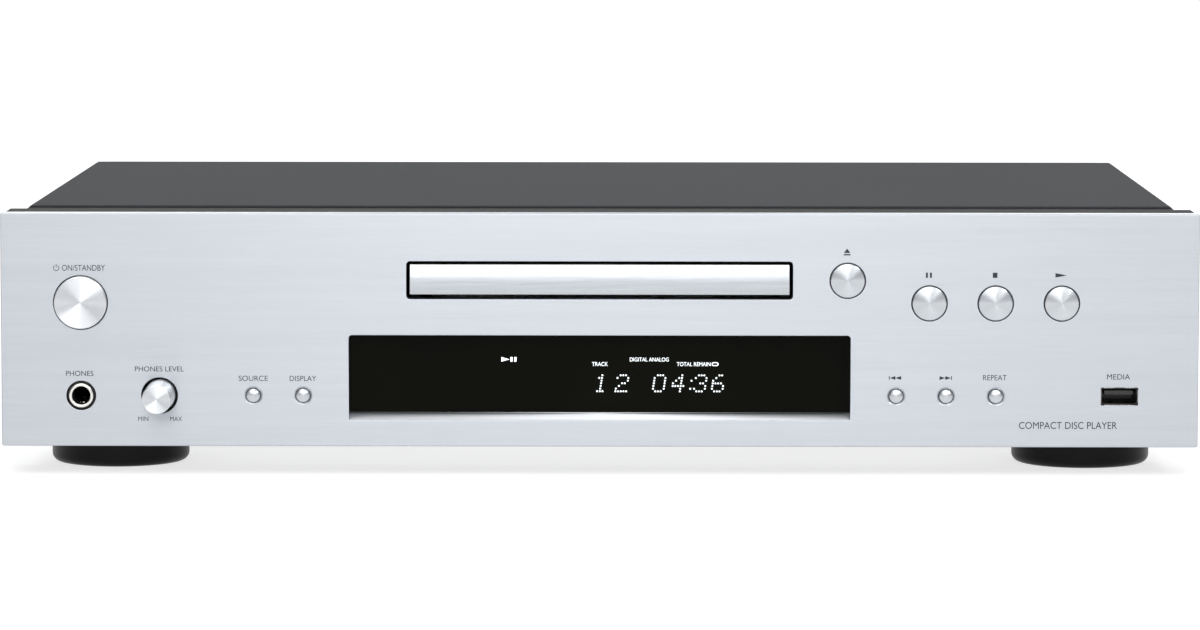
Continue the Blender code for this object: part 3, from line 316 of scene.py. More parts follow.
def lettering(text, x, z, y, height, width=None, depth=INK_DEPTH, sign=1):
    """Raised print centred on x with its capitals from z up. sign -1 is read from behind."""
    curve = bpy.data.curves.new("text", "FONT")
    curve.body, curve.align_x = text, "CENTER"
    curve.extrude = 0.01  # replaced by the depth below
    obj = linked("text", curve)
    bpy.context.view_layer.update()
    mesh = bpy.data.meshes.new_from_object(obj)
    bpy.data.objects.remove(obj)
    xs, ys = [v.co.x for v in mesh.vertices], [v.co.y for v in mesh.vertices]
    left, right, foot = min(xs), max(xs), min(ys)
    up = height / (max(ys) - foot)
    across = width / (right - left) if width else up
    for v in mesh.vertices:
        px = x + (v.co.x - (right + left) / 2) * across * sign
        py = y - math.copysign(depth, sign * v.co.z)
        v.co = Vector((px, py, z + (v.co.y - foot) * up)) * MM
    return linked("text", mesh)


def icon(points, x, z, y, depth=INK_DEPTH):
    """A small printed shape, from points about its own middle."""
    loop = [(x + a, z + b) for a, b in points]
    return slab("icon", loop, *about(y, depth), "Y", rim=(0, 0))


# ---- finishes
NOISE_SPAN = (0.3, 0.7)  # most of a noise texture's values lie between these
GLOSSIEST = 0.03  # the lowest roughness that any finish has


class Finish:
    """A Principled material whose colour, roughness and bump vary with procedural noise."""

    def __init__(self, name, colour, rough, metal, fixed=None):
        self.material = bpy.data.materials.new(name)
        self.material.use_nodes = True
        self.tree = self.material.node_tree
        self.shader = self.tree.nodes["Principled BSDF"]
        self.set(self.shader, {"Metallic": metal, **(fixed or {})})
        self.colour = self.start("RGB", (*colour, 1))
        self.rough = self.start("Value", rough)
        self.height = None
        self.coords = self.node("TexCoord")

    def node(self, kind, inputs=None, **settings):
        made = self.tree.nodes.new("ShaderNode" + kind)
        for key, value in settings.items():
            setattr(made, key, value)
        self.set(made, inputs or {})
        return made

    def out(self, kind, inputs=None, **settings):
        return self.node(kind, inputs, **settings).outputs[0]

    def set(self, node, inputs):
        for key, value in inputs.items():
            if isinstance(value, bpy.types.NodeSocket):
                self.tree.links.new(value, node.inputs[key])
            else:
                node.inputs[key].default_value = value

    def start(self, kind, value):
        made = self.node(kind)
        made.outputs[0].default_value = value
        return made.outputs[0]

    def math(self, operation, a, b=0.0, c=0.0):
        return self.out("Math", {0: a, 1: b, 2: c}, operation=operation)

    def vector(self, operation, *values):
        return self.node("VectorMath", dict(enumerate(values)), operation=operation).outputs

    def place(self, scale):
        scale = scale if isinstance(scale, tuple) else (scale,) * 3
        return self.out("Mapping", {0: self.coords.outputs["Object"], 3: scale})

    def noise(self, scale, detail=3.0, rough=0.55, warp=0.0):
        inputs = {"Vector": self.place(scale), "Scale": 1.0, "Detail": detail}
        inputs |= {"Roughness": rough, "Distortion": warp}
        return self.out("TexNoise", inputs)

    def radial(self, scale):
        """Noise that depends on the distance from the piece's own middle, seen along Y."""
        moved = self.vector("SUBTRACT", self.coords.outputs["Generated"], (0.5, 0.5, 0.5))[0]
        flat = self.vector("MULTIPLY", moved, (1, 0, 1))[0]
        far = self.vector("LENGTH", flat)["Value"]
        inputs = {"W": self.math("MULTIPLY", far, scale), "Scale": 1.0, "Detail": 4.0}
        return self.out("TexNoise", inputs, noise_dimensions="1D")

    def cells(self, scale, feature="F1"):
        return self.out("TexVoronoi", {"Vector": self.place(scale), "Scale": 1.0}, feature=feature)

    def waves(self, scale, axis, warp):
        inputs = {"Vector": self.place(1.0), "Scale": scale, "Distortion": warp}
        return self.node("TexWave", inputs, bands_direction=axis).outputs[1]

    def ranged(self, factor, span, low=0.0, high=1.0):
        """Goes from low to high as factor crosses the span."""
        return self.out("MapRange", {0: factor, 1: span[0], 2: span[1], 3: low, 4: high})

    def tint(self, factor, low, high):
        """Mixes the colour from low times itself to high times itself as factor rises."""
        spread = self.ranged(factor, NOISE_SPAN, low, high)
        grey = self.out("CombineColor", {i: spread for i in range(3)})
        mix = self.node("Mix", data_type="RGBA", blend_type="MULTIPLY")
        self.set(mix, {0: 1.0, 6: self.colour, 7: grey})
        self.colour = mix.outputs[2]
        return self

    def blend(self, factor, colour, rough):
        """Goes over to another colour and another roughness where factor is 1."""
        mix = self.node("Mix", data_type="RGBA")
        self.set(mix, {0: factor, 6: self.colour, 7: (*colour, 1)})
        self.colour = mix.outputs[2]
        self.rough = self.out("Mix", {0: factor, 2: self.rough, 3: rough}, data_type="FLOAT")
        return self

    def gloss(self, factor, amount):
        """Lets the roughness vary by amount in all."""
        spread = self.math("MULTIPLY_ADD", factor, amount, -amount / 2)
        self.rough = self.math("ADD", self.rough, spread)
        return self

    def bump(self, factor, depth_mm):
        scaled = self.math("MULTIPLY", factor, depth_mm * MM)
        self.height = scaled if self.height is None else self.math("ADD", self.height, scaled)
        return self

    def brushed(self, axis, amount):
        """Highlights drawn out across marks that run round the axis."""
        tangent = self.out("Tangent", direction_type="RADIAL", axis=axis)
        inputs = {"Anisotropic": amount, "Anisotropic Rotation": 0.25, "Tangent": tangent}
        self.set(self.shader, inputs)
        return self

    def done(self):
        limited = self.out("Clamp", {0: self.rough, 1: GLOSSIEST, 2: 1.0})
        self.set(self.shader, {"Base Color": self.colour, "Roughness": limited})
        if self.height is not None:
            inputs = {"Height": self.height, "Strength": 1.0, "Distance": 1.0}
            self.set(self.shader, {"Normal": self.out("Bump", inputs)})
        return self.material


def plain(name, colour, rough, specular):
    """A finish that isn't metal, with its specular level set."""
    return Finish(name, colour, rough, 0.0, {"Specular IOR Level": specular})


def brushed_panel(name, colour, rough, streak, grain):
    """Aluminium brushed along X: long fine streaks that change its shade, gloss and height."""
    f = Finish(name, colour, rough, 1.0)
    fine = f.noise((45, 400, streak), 4, 0.65)
    broad = f.noise((9, 60, streak / 9), 3, 0.5)
    f.tint(fine, 1 - grain, 1 + grain).tint(broad, 1 - grain * 0.6, 1 + grain * 0.6)
    return f.gloss(fine, 0.10).bump(fine, 0.004).brushed("Z", 0.8).done()


def spun_metal(name, colour, rough, grooves, amount):
    """Metal faced on a lathe: fine rings about the piece's own middle."""
    f = Finish(name, colour, rough, 1.0)
    rings = f.radial(grooves)
    f.tint(rings, 0.965, 1.03).gloss(rings, 0.08).bump(rings, 0.001)
    return f.brushed("Y", amount).done()


def moulded(name, colour, rough, grain=900, depth=0.012, specular=0.5):
    """Moulded plastic with a fine spark-eroded grain, and faint smears in its gloss."""
    f = plain(name, colour, rough, specular)
    fine, smear = f.noise(grain, 2), f.noise(35, 3, 0.6)
    f.tint(fine, 0.9, 1.1).tint(smear, 0.94, 1.05)
    return f.gloss(smear, 0.10).gloss(fine, 0.06).bump(fine, depth).done()


def painted(name, colour, rough, specular):
    """Textured powder paint on steel sheet."""
    f = plain(name, colour, rough, specular)
    pebble, speck, drift = f.noise(1500, 2, 0.5), f.cells(2600), f.noise(9, 2)
    f.tint(pebble, 0.88, 1.10).tint(speck, 0.93, 1.05).tint(drift, 0.97, 1.03)
    return f.gloss(pebble, 0.12).bump(pebble, 0.03).done()


def plated(name, colour, rough, grain=0.10):
    """Zinc, nickel or tin plate: soft clouds, with fine rolling marks."""
    f = Finish(name, colour, rough, 1.0)
    clouds, rolled = f.noise(60, 4, 0.6, 0.4), f.noise((900, 25, 900), 2)
    f.tint(clouds, 1 - grain, 1 + grain).tint(rolled, 0.97, 1.03)
    return f.gloss(clouds, 0.14).gloss(rolled, 0.08).bump(rolled, 0.004).done()


def rubbery(name, colour, rough):
    """Matt rubber with a little dust on it."""
    f = plain(name, colour, rough, 0.35)
    fine, dust = f.noise(1400, 3), f.noise(70, 4, 0.7)
    f.tint(dust, 0.85, 1.25).tint(fine, 0.9, 1.1)
    return f.gloss(dust, 0.12).bump(fine, 0.02).done()


def circuit(name, colour):
    """Solder mask over copper: a maze of tracks, pads and a faint weave."""
    f = plain(name, colour, 0.38, 0.5)
    tracks = f.ranged(f.cells(260, "DISTANCE_TO_EDGE"), (0.06, 0.10))
    pads = f.ranged(f.cells(420), (0.16, 0.13))
    f.blend(tracks, tuple(c * 0.55 for c in colour), 0.45)
    f.blend(pads, (0.55, 0.50, 0.38), 0.3)
    f.tint(f.noise(2000, 1), 0.92, 1.08)
    return f.bump(tracks, -0.03).bump(f.noise(1800, 1), 0.006).done()


def wound_copper(name):
    """Enamelled wire in close turns under a varnish."""
    f = Finish(name, (0.45, 0.17, 0.05), 0.34, 0.9)
    turns = f.waves(180, "Y", 0.4)
    f.tint(turns, 0.55, 1.15).tint(f.noise(80, 3), 0.85, 1.1)
    return f.gloss(turns, 0.1).bump(turns, 0.18).done()


def laminated(name):
    """The edges of stacked steel sheets, with varnish runs."""
    f = Finish(name, (0.20, 0.20, 0.21), 0.5, 0.75)
    sheets = f.waves(320, "Z", 0.2)
    f.tint(sheets, 0.6, 1.1).tint(f.noise(50, 3), 0.8, 1.1)
    return f.gloss(f.noise(60), 0.15).bump(sheets, 0.06).done()


def smoked(name):
    """Dark acrylic with a polished face that carries only a trace of haze."""
    f = plain(name, (0.0022, 0.0024, 0.0012), 0.10, 0.04)
    haze = f.noise(25, 3, 0.6)
    return f.tint(haze, 0.8, 1.2).gloss(haze, 0.05).bump(f.noise(12, 1), 0.004).done()


def tube_glass(name):
    """The display tube: dark phosphor grid behind glass."""
    f = Finish(name, (0.03, 0.04, 0.04), 0.08, 0.0, {"Coat Weight": 0.6})
    grid = f.cells(1050)
    return f.tint(grid, 0.5, 1.3).bump(grid, 0.01).done()


def printed(name, colour):
    """Screen-printed ink with a slightly broken edge to its density."""
    f = plain(name, colour, 0.6, 0.3)
    ink = f.noise(2500, 2)
    return f.tint(ink, 0.85, 1.15).gloss(ink, 0.1).bump(ink, 0.004).done()


def lit(name, colour, strength):
    """Glowing phosphor, a little uneven."""
    glow = {"Emission Color": (*colour, 1), "Emission Strength": strength}
    f = Finish(name, (0.5, 0.5, 0.5), 0.5, 0.0, glow)
    return f.tint(f.noise(900, 2), 0.9, 1.1).done()


PANEL = brushed_panel("brushed_aluminium", (0.425, 0.447, 0.477), 0.33, 3400, 0.035)
# The sill is the panel's aluminium made far lighter in colour: painted light, for the light that
# the sloping sill would catch from above.
SILL_PAINTED_LIGHT = brushed_panel("sill_aluminium_painted_light", (0.74, 0.76, 0.785), 0.60, 3400, 0.03)
DOOR = brushed_panel("door_aluminium", (0.425, 0.445, 0.468), 0.24, 2600, 0.05)
SPUN = spun_metal("spun_aluminium", (0.63, 0.65, 0.67), 0.38, 120, 0.95)
SPUN_LARGE = spun_metal("spun_aluminium_large", (0.49, 0.51, 0.535), 0.25, 90, 0.9)
SPUN_SMALL = spun_metal("spun_aluminium_small", (0.49, 0.51, 0.535), 0.30, 26, 0.5)
BLACK = moulded("black_plastic", (0.014, 0.014, 0.015), 0.42, depth=0.006)
BEZEL = moulded("dark_bezel_plastic", (0.022, 0.022, 0.023), 0.62, 700, 0.010, 0.08)
SATIN = moulded("satin_black_plastic", (0.0035, 0.0032, 0.003), 0.36, 700, 0.006, 0.14)
GREY = moulded("grey_plastic", (0.16, 0.16, 0.17), 0.48)
WHITE = moulded("white_plastic", (0.74, 0.73, 0.69), 0.42)
RED = moulded("red_plastic", (0.45, 0.015, 0.012), 0.38)
ORANGE = moulded("orange_plastic", (0.62, 0.16, 0.01), 0.38)
TRAY = moulded("tray_plastic", (0.017, 0.017, 0.018), 0.36, 1300, 0.008)
RUBBER = rubbery("rubber", (0.018, 0.018, 0.018), 0.72)
COVER = painted("dark_grey_paint", (0.040, 0.0413, 0.0450), 0.70, 0.05)
REAR = painted("black_paint", (0.020, 0.020, 0.021), 0.55, 0.30)
ZINC = plated("zinc_plate", (0.56, 0.57, 0.58), 0.38)
STEEL = plated("bright_steel", (0.62, 0.62, 0.61), 0.28, 0.06)
NICKEL = plated("nickel_plate", (0.72, 0.70, 0.66), 0.17, 0.05)
GOLD = plated("gold_plate", (0.83, 0.60, 0.25), 0.20, 0.05)
BLACK_STEEL = plated("black_oxide", (0.06, 0.06, 0.062), 0.36, 0.15)
BOARD = circuit("circuit_board", (0.03, 0.16, 0.06))
COPPER = wound_copper("wound_copper")
CORE = laminated("laminated_steel")
LENS = smoked("smoked_acrylic")
TUBE = tube_glass("tube_glass")
INK = printed("dark_ink", (0.020, 0.022, 0.027))
PALE_INK = printed("pale_ink", (0.62, 0.63, 0.63))
GLOW = lit("phosphor", (0.86, 0.95, 1.0), 1.25)


def piece(obj, finish, stands_for=None, body="chassis"):
    """Gives the object its finish and its body, and hides the CAD node that it stands for."""
    obj.data.materials.clear()
    obj.data.materials.append(finish)
    if stands_for:
        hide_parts(stands_for)
    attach(obj, body)
    # Flat faces stay flat in the light beside rounded edges.
    normals = obj.modifiers.new("normals", "WEIGHTED_NORMAL")
    normals.weight, normals.keep_sharp = 100, True


# ---- fascia
panel_low, panel_high = box_mm("front_panel")
FACE, BACK = panel_low.y, panel_high.y
TRAY_HOLE = (-70.1, 70.1, 64.85, 78.6)
WINDOW_HALF, WINDOW_Z = 91.1, (22.8, 51.6)
SILL_DROP, SILL_DEPTH, SILL_EDGE = 1.95, 3.0, 0.3
LARGE = ("eject_button", "pause_button", "stop_button", "play_button")
SMALL = ("source_button", "display_button", "previous_button", "next_button", "repeat_button")
HOLE_R = {"power_button": 9.9, "phones_jack": 5.35, "level_knob": 6.6}
HOLE_R |= {name: 6.55 for name in LARGE} | {name: 2.8 for name in SMALL}
SINK = 0.65  # the width of the countersink round a small button
PORT = middle("usb_port")
PORT_HOLE = (13.5, 6.6)


def make_fascia():
    low = WINDOW_Z[0] - SILL_DROP
    window = oblong(-WINDOW_HALF, WINDOW_HALF, low, WINDOW_Z[1], radii=(1.1, 0, 0, 1.1))
    holes = [(oblong(*TRAY_HOLE, 1.3), 0.22, 0.2), (window, SILL_EDGE, 0.2)]
    for name, radius in HOLE_R.items():
        at = middle(name)
        rim = SINK if name in SMALL else 0.2
        holes.append((circle(at.x, at.z, radius, 96), rim, 0.15))
    holes.append((around(PORT.x, PORT.z, *PORT_HOLE, 0.5), 0.12, 0.1))
    outline = oblong(panel_low.x, panel_high.x, panel_low.z, panel_high.z, 0.7, 5)
    fascia = slab("fascia", outline, FACE, BACK, "Y", holes, rim=(0.45, 0.3))
    piece(fascia, PANEL, "front_panel")
    lap, top = 0.02, WINDOW_Z[0]
    section = [(FACE + SILL_EDGE, low - lap), (FACE + SILL_DEPTH, top - 0.12)]
    section += [(FACE + SILL_DEPTH + 0.6, top), (BACK, top), (BACK, low - lap)]
    sill = slab("window_sill", section, lap - WINDOW_HALF, WINDOW_HALF - lap, "X", rim=(0, 0))
    # The sill's lighter finish is painted light.
    piece(sill, SILL_PAINTED_LIGHT)


def make_window():
    low, high = box_mm("display_window")
    outline = oblong(low.x, high.x, low.z, high.z, 1.0)
    lens = slab("window_lens", outline, low.y, high.y, "Y", rim=(0.25, 0.2))
    piece(lens, LENS, "display_window")


# ---- prints
def transport_icons():
    """The marks over the buttons, each as (button, shapes about its middle, height)."""

    def bar(x0, x1, z0, z1):
        return [(x0, z0), (x1, z0), (x1, z1), (x0, z1)]

    eject = [[(-1.2, -0.35), (1.2, -0.35), (0, 1.25)], bar(-1.2, 1.2, -1.25, -0.75)]
    pause = [bar(-1.1, -0.35, -0.95, 0.95), bar(0.35, 1.1, -0.95, 0.95)]
    stop = [bar(-0.85, 0.85, -0.95, 0.95)]
    play = [[(-2.15, -0.8), (2.15, 0), (-2.15, 0.8)]]
    back = [[(-2.1, 0), (0, 0.7), (0, -0.7)][::-1], [(0, 0), (2.1, 0.7), (2.1, -0.7)][::-1]]
    back.append(bar(-2.4, -2.1, -0.7, 0.7))
    ahead = [[(-x, z) for x, z in shape] for shape in back]
    return (
        ("eject", eject, 82.2), ("pause", pause, 73.8), ("stop", stop, 73.8),
        ("play", play, 73.8), ("previous", back, 36.3), ("next", ahead, 36.3),
    )


def power_mark(x, z):
    """An open ring with a bar through its gap."""
    ring = arc(0, 0, 1.12, 125, 415, 22) + arc(0, 0, 0.88, 415, 125, 22)
    bar = [(-0.12, 0.1), (0.12, 0.1), (0.12, 1.45), (-0.12, 1.45)]
    return [icon(shape, x, z, FACE) for shape in (ring, bar)]


def make_prints():
    knob, jack = middle("level_knob"), middle("phones_jack")
    words = [  # text, its middle's x, its foot's z, its height and its width
        ("ON/STANDBY", middle("power_button").x + 1.2, 75.0, 2.15, 15.6),
        ("PHONES", jack.x - 0.5, 36.6, 1.9, 10.0),
        ("PHONES LEVEL", knob.x, 38.3, 1.85, 17.8),
        ("MIN", knob.x - 6.0, 20.2, 1.6, 3.7),
        ("MAX", knob.x + 5.95, 20.2, 1.6, 4.35),
        ("SOURCE", middle("source_button").x, 34.85, 1.95, 10.6),
        ("DISPLAY", middle("display_button").x, 34.85, 1.95, 9.65),
        ("REPEAT", middle("repeat_button").x - 0.4, 35.5, 1.95, 8.6),
        ("MEDIA", PORT.x - 0.4, 35.85, 1.95, 8.4),
        ("COMPACT DISC PLAYER", 170.3, 17.75, 2.55, 35.6),
    ]
    made = [lettering(t, x, z, FACE, tall, wide) for t, x, z, tall, wide in words]
    made += power_mark(middle("power_button").x - 8.7, 76.05)
    for button, shapes, z in transport_icons():
        x = middle(f"{button}_button").x - 0.3
        made += [icon(shape, x, z, FACE) for shape in shapes]
    piece(merged("panel_print", *made), INK)


# ---- display
DOTS = {  # five by seven cells, rows from the top
    "0": "01110 10001 10001 10001 10001 10001 01110",
    "1": "00100 01100 00100 00100 00100 00100 01110",
    "2": "01110 10001 00001 00110 01000 10000 11111",
    "3": "01110 10001 00001 00110 00001 10001 01110",
    "4": "00010 00110 01010 10010 11111 00010 00010",
    "6": "00110 01000 10000 11110 10001 10001 01110",
    ":": "00000 00000 01000 00000 00000 01000 00000",
}
DOT_PITCH, DOT_R, DOT_SLANT = 0.98, 0.33, 0.16
# Each digit and its left edge.
DIGITS = (("1", -1.9), ("2", 5.75), ("0", 19.3), ("4", 26.3), (":", 31.9), ("3", 34.3), ("6", 40.8))
DIGITS_Z = 30.5
GLOW_DEPTH = 0.04
PLAY_MARK = (-33.1, 42.15)


def make_display_marks():
    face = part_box("display_window")[0].y / MM
    made = []
    for digit, left in DIGITS:
        for row, cells in enumerate(DOTS[digit].split()):
            for column, on in enumerate(cells):
                if on == "1":
                    up = (6 - row) * DOT_PITCH
                    x = left + column * DOT_PITCH + up * DOT_SLANT
                    dot = circle(0, 0, DOT_R, 10)
                    made.append(icon(dot, x, DIGITS_Z + up, face, GLOW_DEPTH))
    piece(merged("display_digits", *made), GLOW)
    words = [
        ("TRACK", 0.1, 39.75, 1.45, 5.8),
        ("DIGITAL ANALOG", 18.1, 41.45, 1.45, 14.2),
        ("TOTAL REMAIN", 34.3, 39.75, 1.45, 12.3),
    ]
    made = [lettering(t, x, z, face, tall, wide, GLOW_DEPTH) for t, x, z, tall, wide in words]
    play = [(-2.75, -0.85), (0.2, 0), (-2.75, 0.85)]
    for shape in (play, around(0.95, 0, 0.8, 1.7), around(2.35, 0, 0.8, 1.7)):
        made.append(icon(shape, *PLAY_MARK, face, GLOW_DEPTH))
    ring = slab(
        "loop", around(42.1, 40.5, 2.5, 1.4, 0.65), *about(face, GLOW_DEPTH), "Y",
        [around(42.1, 40.5, 1.8, 0.75, 0.33)], (0, 0), (0, 0),
    )
    piece(merged("display_words", *made, ring), GLOW)


# ---- tray
def make_door():
    low, high = box_mm("tray_front")
    front, back = low.y, high.y
    bow, wall, crown = 0.8, 1.8, middle("tray_front").z - 0.8
    face, count = [], 15
    for i in range(count):  # almost flat below the crown line, and bowed back above it
        z = high.z - (high.z - low.z) * i / (count - 1)
        lean = max(0, (z - crown) / (high.z - crown))
        droop = max(0, (crown - z) / (crown - low.z))
        face.append((front + bow * lean**1.7 + 0.1 * droop**2, z))
    inner = front + bow + wall
    channel = [(back, low.z), (back, low.z + wall), (inner, low.z + wall)]
    channel += [(inner, high.z - wall), (back, high.z - wall), (back, high.z)]
    radii = [0.45] + [0] * (count - 2) + [0.45, 0.4, 0.4, 0.5, 0.5, 0.4, 0.4]
    section = softened(face + channel, radii)
    door = slab("tray_door", section, low.x, high.x, "X", rim=(0.2, 0.2))
    piece(door, DOOR, "tray_front", "tray")


def make_tray():
    low, high = box_mm("disc_tray")
    plate_z, seat, small_seat = 70.0, 73.6, 72.2  # the plate's underside, and each recess's floor
    hub_y, slot = -68.0, 18.5
    outline = [(low.x, low.y), (high.x, low.y), (high.x, high.y), (slot, high.y)]
    outline += arc(0, hub_y, slot, 0, -180, 49)
    outline += [(-slot, high.y), (low.x, high.y)]
    body = slab("tray_body", outline, plate_z, high.z, "Z", rim=(0.25, 0.35))

    def recess(radius, floor, rise):
        profile = [(0, floor), (radius - 0.5, floor), (radius, floor + 0.5), (radius, rise - 0.35)]
        profile += [(radius + 0.1, rise - 0.1), (radius + 0.45, rise + 0.02)]
        profile += [(radius + 0.45, high.z + 2), (0, high.z + 2)]
        return turned("recess", profile, (0, hub_y), "Z", 128)

    boolean(body, "DIFFERENCE", recess(60.5, seat, high.z), recess(40.5, small_seat, seat))
    skirts = [
        block("skirt", about(x, 1.5), (-128.0, high.y - 0.5), (67.5, plate_z + 0.1), 0.3)
        for x in (low.x + 1.6, high.x - 1.6)
    ]
    apron = block("apron", (-60, 60), (low.y + 0.1, low.y + 2.5), (low.z, plate_z + 0.1), 0.3)
    pitch_x, module, gap_y = -57.0, 1.25, -109.6  # as in the CAD: a gap lies beside the gear
    side, start, end, tooth_half = -62.0, -119.0, 30.0, 1.02
    root, tip = pitch_x - 1.15 * module, pitch_x + 0.8 * module
    teeth = [(side, end), (side, start), (root, start)]
    pitch = math.pi * module
    at = gap_y + pitch / 2 + pitch * math.ceil((start - gap_y) / pitch)
    while at + tooth_half * module < end:
        for x, half in ((root, -tooth_half), (tip, -0.33), (tip, 0.33), (root, tooth_half)):
            teeth.append((x, at + half * module))
        at += pitch
    teeth.append((root, end))
    rack = slab("rack", teeth, 67.4, plate_z + 0.1, "Z", rim=(0.1, 0))
    tray = merged("tray_body", body, *skirts, apron, rack)
    piece(tray, TRAY, "disc_tray", "tray")


# ---- buttons and knob
def cap_profile(cap, front, flange, stem_end, cone, edge):
    """Half outline of a cap with a faintly coned face, a retaining flange and a stem."""
    stem = min(2.2, cap * 0.7)
    bezel_back = BACK + 3.3  # the flange rests here
    flange_back = bezel_back + 1.2
    points = [(0, front + max(0, -cone)), (cap - edge, front + max(0, cone))]
    points += [(cap, front + max(0, cone) + edge), (cap, bezel_back), (flange, bezel_back)]
    points += [(flange, flange_back), (stem, flange_back), (stem, stem_end), (0, stem_end)]
    return softened(points, [0, edge, edge * 0.8, 0.2, 0.3, 0.3, 0.3, 0.3, 0], closed=False)


def make_buttons():
    for name in ("power_button", *LARGE, *SMALL):
        low, high, at = spot(name)
        word = name.removesuffix("_button")  # the body has this name
        hole = HOLE_R[name]
        small = name in SMALL
        cap = hole - (0.24 if small else 0.34)
        cone, edge = (0.5, 0.5) if small else (0.9, 0.3)
        if name == "power_button":
            cone = -0.15  # dished
        profile = cap_profile(cap, low.y, hole + 1.0, high.y, cone, edge)
        made = turned(f"{word}_cap", profile, (at.x, at.z), "Y", 48 if small else 96)
        finish = SPUN_SMALL if small else SPUN_LARGE if name in LARGE else SPUN
        piece(made, finish, name, word)


def make_knob():
    low, high, at = spot("level_knob")
    radius, bore = 5.6, 3.2
    bore_front = low.y + 5.0
    profile = [(0, low.y + 0.10), (radius - 0.85, low.y + 0.02), (radius - 0.6, low.y)]
    profile += [(radius - 0.22, low.y + 0.45), (radius, high.y), (bore, high.y)]
    profile += [(bore, bore_front), (0, bore_front)]
    profile = softened(profile, [0, 0.1, 0.12, 0.25, 0.3, 0.2, 0.2, 0], closed=False)
    knob = turned("level_cap", profile, (at.x, at.z))
    piece(knob, SPUN, "level_knob", "level")


# ---- headphone socket and media port
def make_phones_jack():
    tip = box_mm("phones_jack")[0].y
    at = (middle("power_button").x, 29.5)
    hole, bore, wide, end = 5.05, 3.2, 6.4, -104.0
    step, nose, lip_y, ring_back = -128.6, 4.55, -139.9, -137.0
    sleeve = [(bore, -138.0), (hole, -138.9), (hole, step), (wide, step), (wide, end), (bore, end)]
    sleeve = softened(sleeve, [0.2, 0.4, 0.2, 0.3, 0.3, 0.2])
    sleeve = turned("jack_sleeve", sleeve, at, "Y", 72)
    square = around(*at, 15.0, 15.0, 1.2)
    housing = slab("jack_housing", square, -129.6, -104.2, "Y", [circle(*at, 6.5)], (0.4, 0.4))
    piece(merged("jack_body", sleeve, housing), BLACK, "phones_jack")
    ring = [(bore, lip_y), (3.45, tip), (4.25, tip), (nose, lip_y)]
    ring += [(nose, ring_back), (bore, ring_back)]
    ring = softened(ring, [0.2, 0.5, 0.5, 0.3, 0.1, 0.1], steps=6)
    piece(turned("jack_ring", ring, at), NICKEL)
    spring = [(-134.0, 26.5), (-131.0, 27.5), (-128.0, 26.6)]
    spring = softened(spring + [(-128.0, 26.3), (-131.0, 27.2), (-134.0, 26.2)], 0.3)
    leaves = [
        slab("leaf", spring, *about(at[0] + x, 0.4), "X", rim=(0.05, 0.05))
        for x in (-1.15, 0.25, 1.5)
    ]
    piece(merged("jack_contacts", *leaves), NICKEL)


def make_media_port():
    low, high = box_mm("usb_port")
    x, z = PORT.x, PORT.z
    width, height, sheet = high.x - low.x, high.z - low.z, 0.35
    inner = (width - 2 * sheet, height - 2 * sheet)
    shell = slab(
        "shell", around(x, z, width, height, 0.6), low.y + 0.9, high.y, "Y",
        [around(x, z, *inner, 0.35)], (0.05, 0.1), (0.05, 0.1),
    )
    front, root = low.y - 0.25, low.y + 1.1

    def lip(along, start, end, side):
        """One flared lip: a bent strip from the shell's mouth out to the panel's hole."""
        half = inner[1 if along == "X" else 0] / 2
        points = [(root, half), (front, half + 0.42), (front + 0.1, half + 0.62)]
        points = [(y, side * reach) for y, reach in (*points, (root, half + sheet))]
        if along == "X":
            loop = [(y, z + reach) for y, reach in points]
            return slab("lip", softened(loop, 0.06), x + start, x + end, "X", rim=(0.02, 0.02))
        loop = [(x + reach, y) for y, reach in points]
        return slab("lip", softened(loop, 0.06), z + start, z + end, "Z", rim=(0.02, 0.02))

    span, rise = inner[0] / 2 - 0.55, inner[1] / 2 - 0.5
    lips = [lip("X", -span, -0.06, -1), lip("X", 0.06, span, -1)]
    lips += [lip("X", -span, -1.9, 1), lip("X", 1.9, span, 1)]
    lips += [lip("Z", -rise, rise, side) for side in (-1, 1)]
    rear = slab("rear", around(x, z, width - 0.1, height - 0.1, 0.5), high.y - 0.4, high.y, "Y")
    port = merged("port_shell", shell, rear)
    piece(port, BLACK_STEEL, "usb_port")
    piece(merged("port_lips", *lips), NICKEL)
    tongue = block("port_tongue", about(x, 5.3), (-136.6, -122.6), (z + 0.25, z + 2.05), 0.3)
    piece(tongue, BLACK)
    contacts = [
        block("pin", about(x + dx, 0.55), (-135.4, -124.0), (z + 0.08, z + 0.28), 0.08)
        for dx in (-3.5, -1.0, 1.0, 3.5)
    ]
    springs = []
    for dx in (-3.0, 2.9):
        for side in (-1, 1):
            edge = z + side * inner[1] / 2
            bend = [(-137.6, edge), (-135.6, edge - side * 0.55), (-133.0, edge)]
            bend += [(-133.0, edge + side * 0.15), (-137.6, edge + side * 0.15)]
            springs.append(slab("spring", bend, *about(x + dx, 0.8), "X", rim=(0.05, 0.05)))
    piece(merged("port_contacts", *contacts), GOLD)
    piece(merged("port_springs", *springs), BLACK_STEEL)


# ---- cover, screws and feet
def make_cover():
    low, high = box_mm("top_cover")
    sheet, bend, lip_drop = 1.0, 1.8, 11.0
    cx, cz = high.x - bend, high.z - bend
    outer = [(high.x, low.z)] + arc(cx, cz, bend, 0, 90, 9) + arc(-cx, cz, bend, 90, 180, 9)
    outer += [(low.x, low.z), (low.x + sheet, low.z)]
    inner = arc(-cx, cz, bend - sheet, 180, 90, 9) + arc(cx, cz, bend - sheet, 90, 0, 9)
    inner += [(high.x - sheet, low.z)]
    shell = slab("cover_shell", outer + inner, low.y, high.y - sheet, "Y", rim=(0.4, 0))
    half = high.x - 6.0
    lip = slab(
        "cover_lip", oblong(-half, half, high.z - lip_drop, high.z - 0.02, radii=(0, 1.5, 1.5, 0)),
        high.y - sheet - 0.05, high.y, "Y", rim=(0, 0.3),
    )
    cover = boolean(shell, "UNION", lip)
    cover.name = "cover_shell"
    piece(cover, COVER, "top_cover")


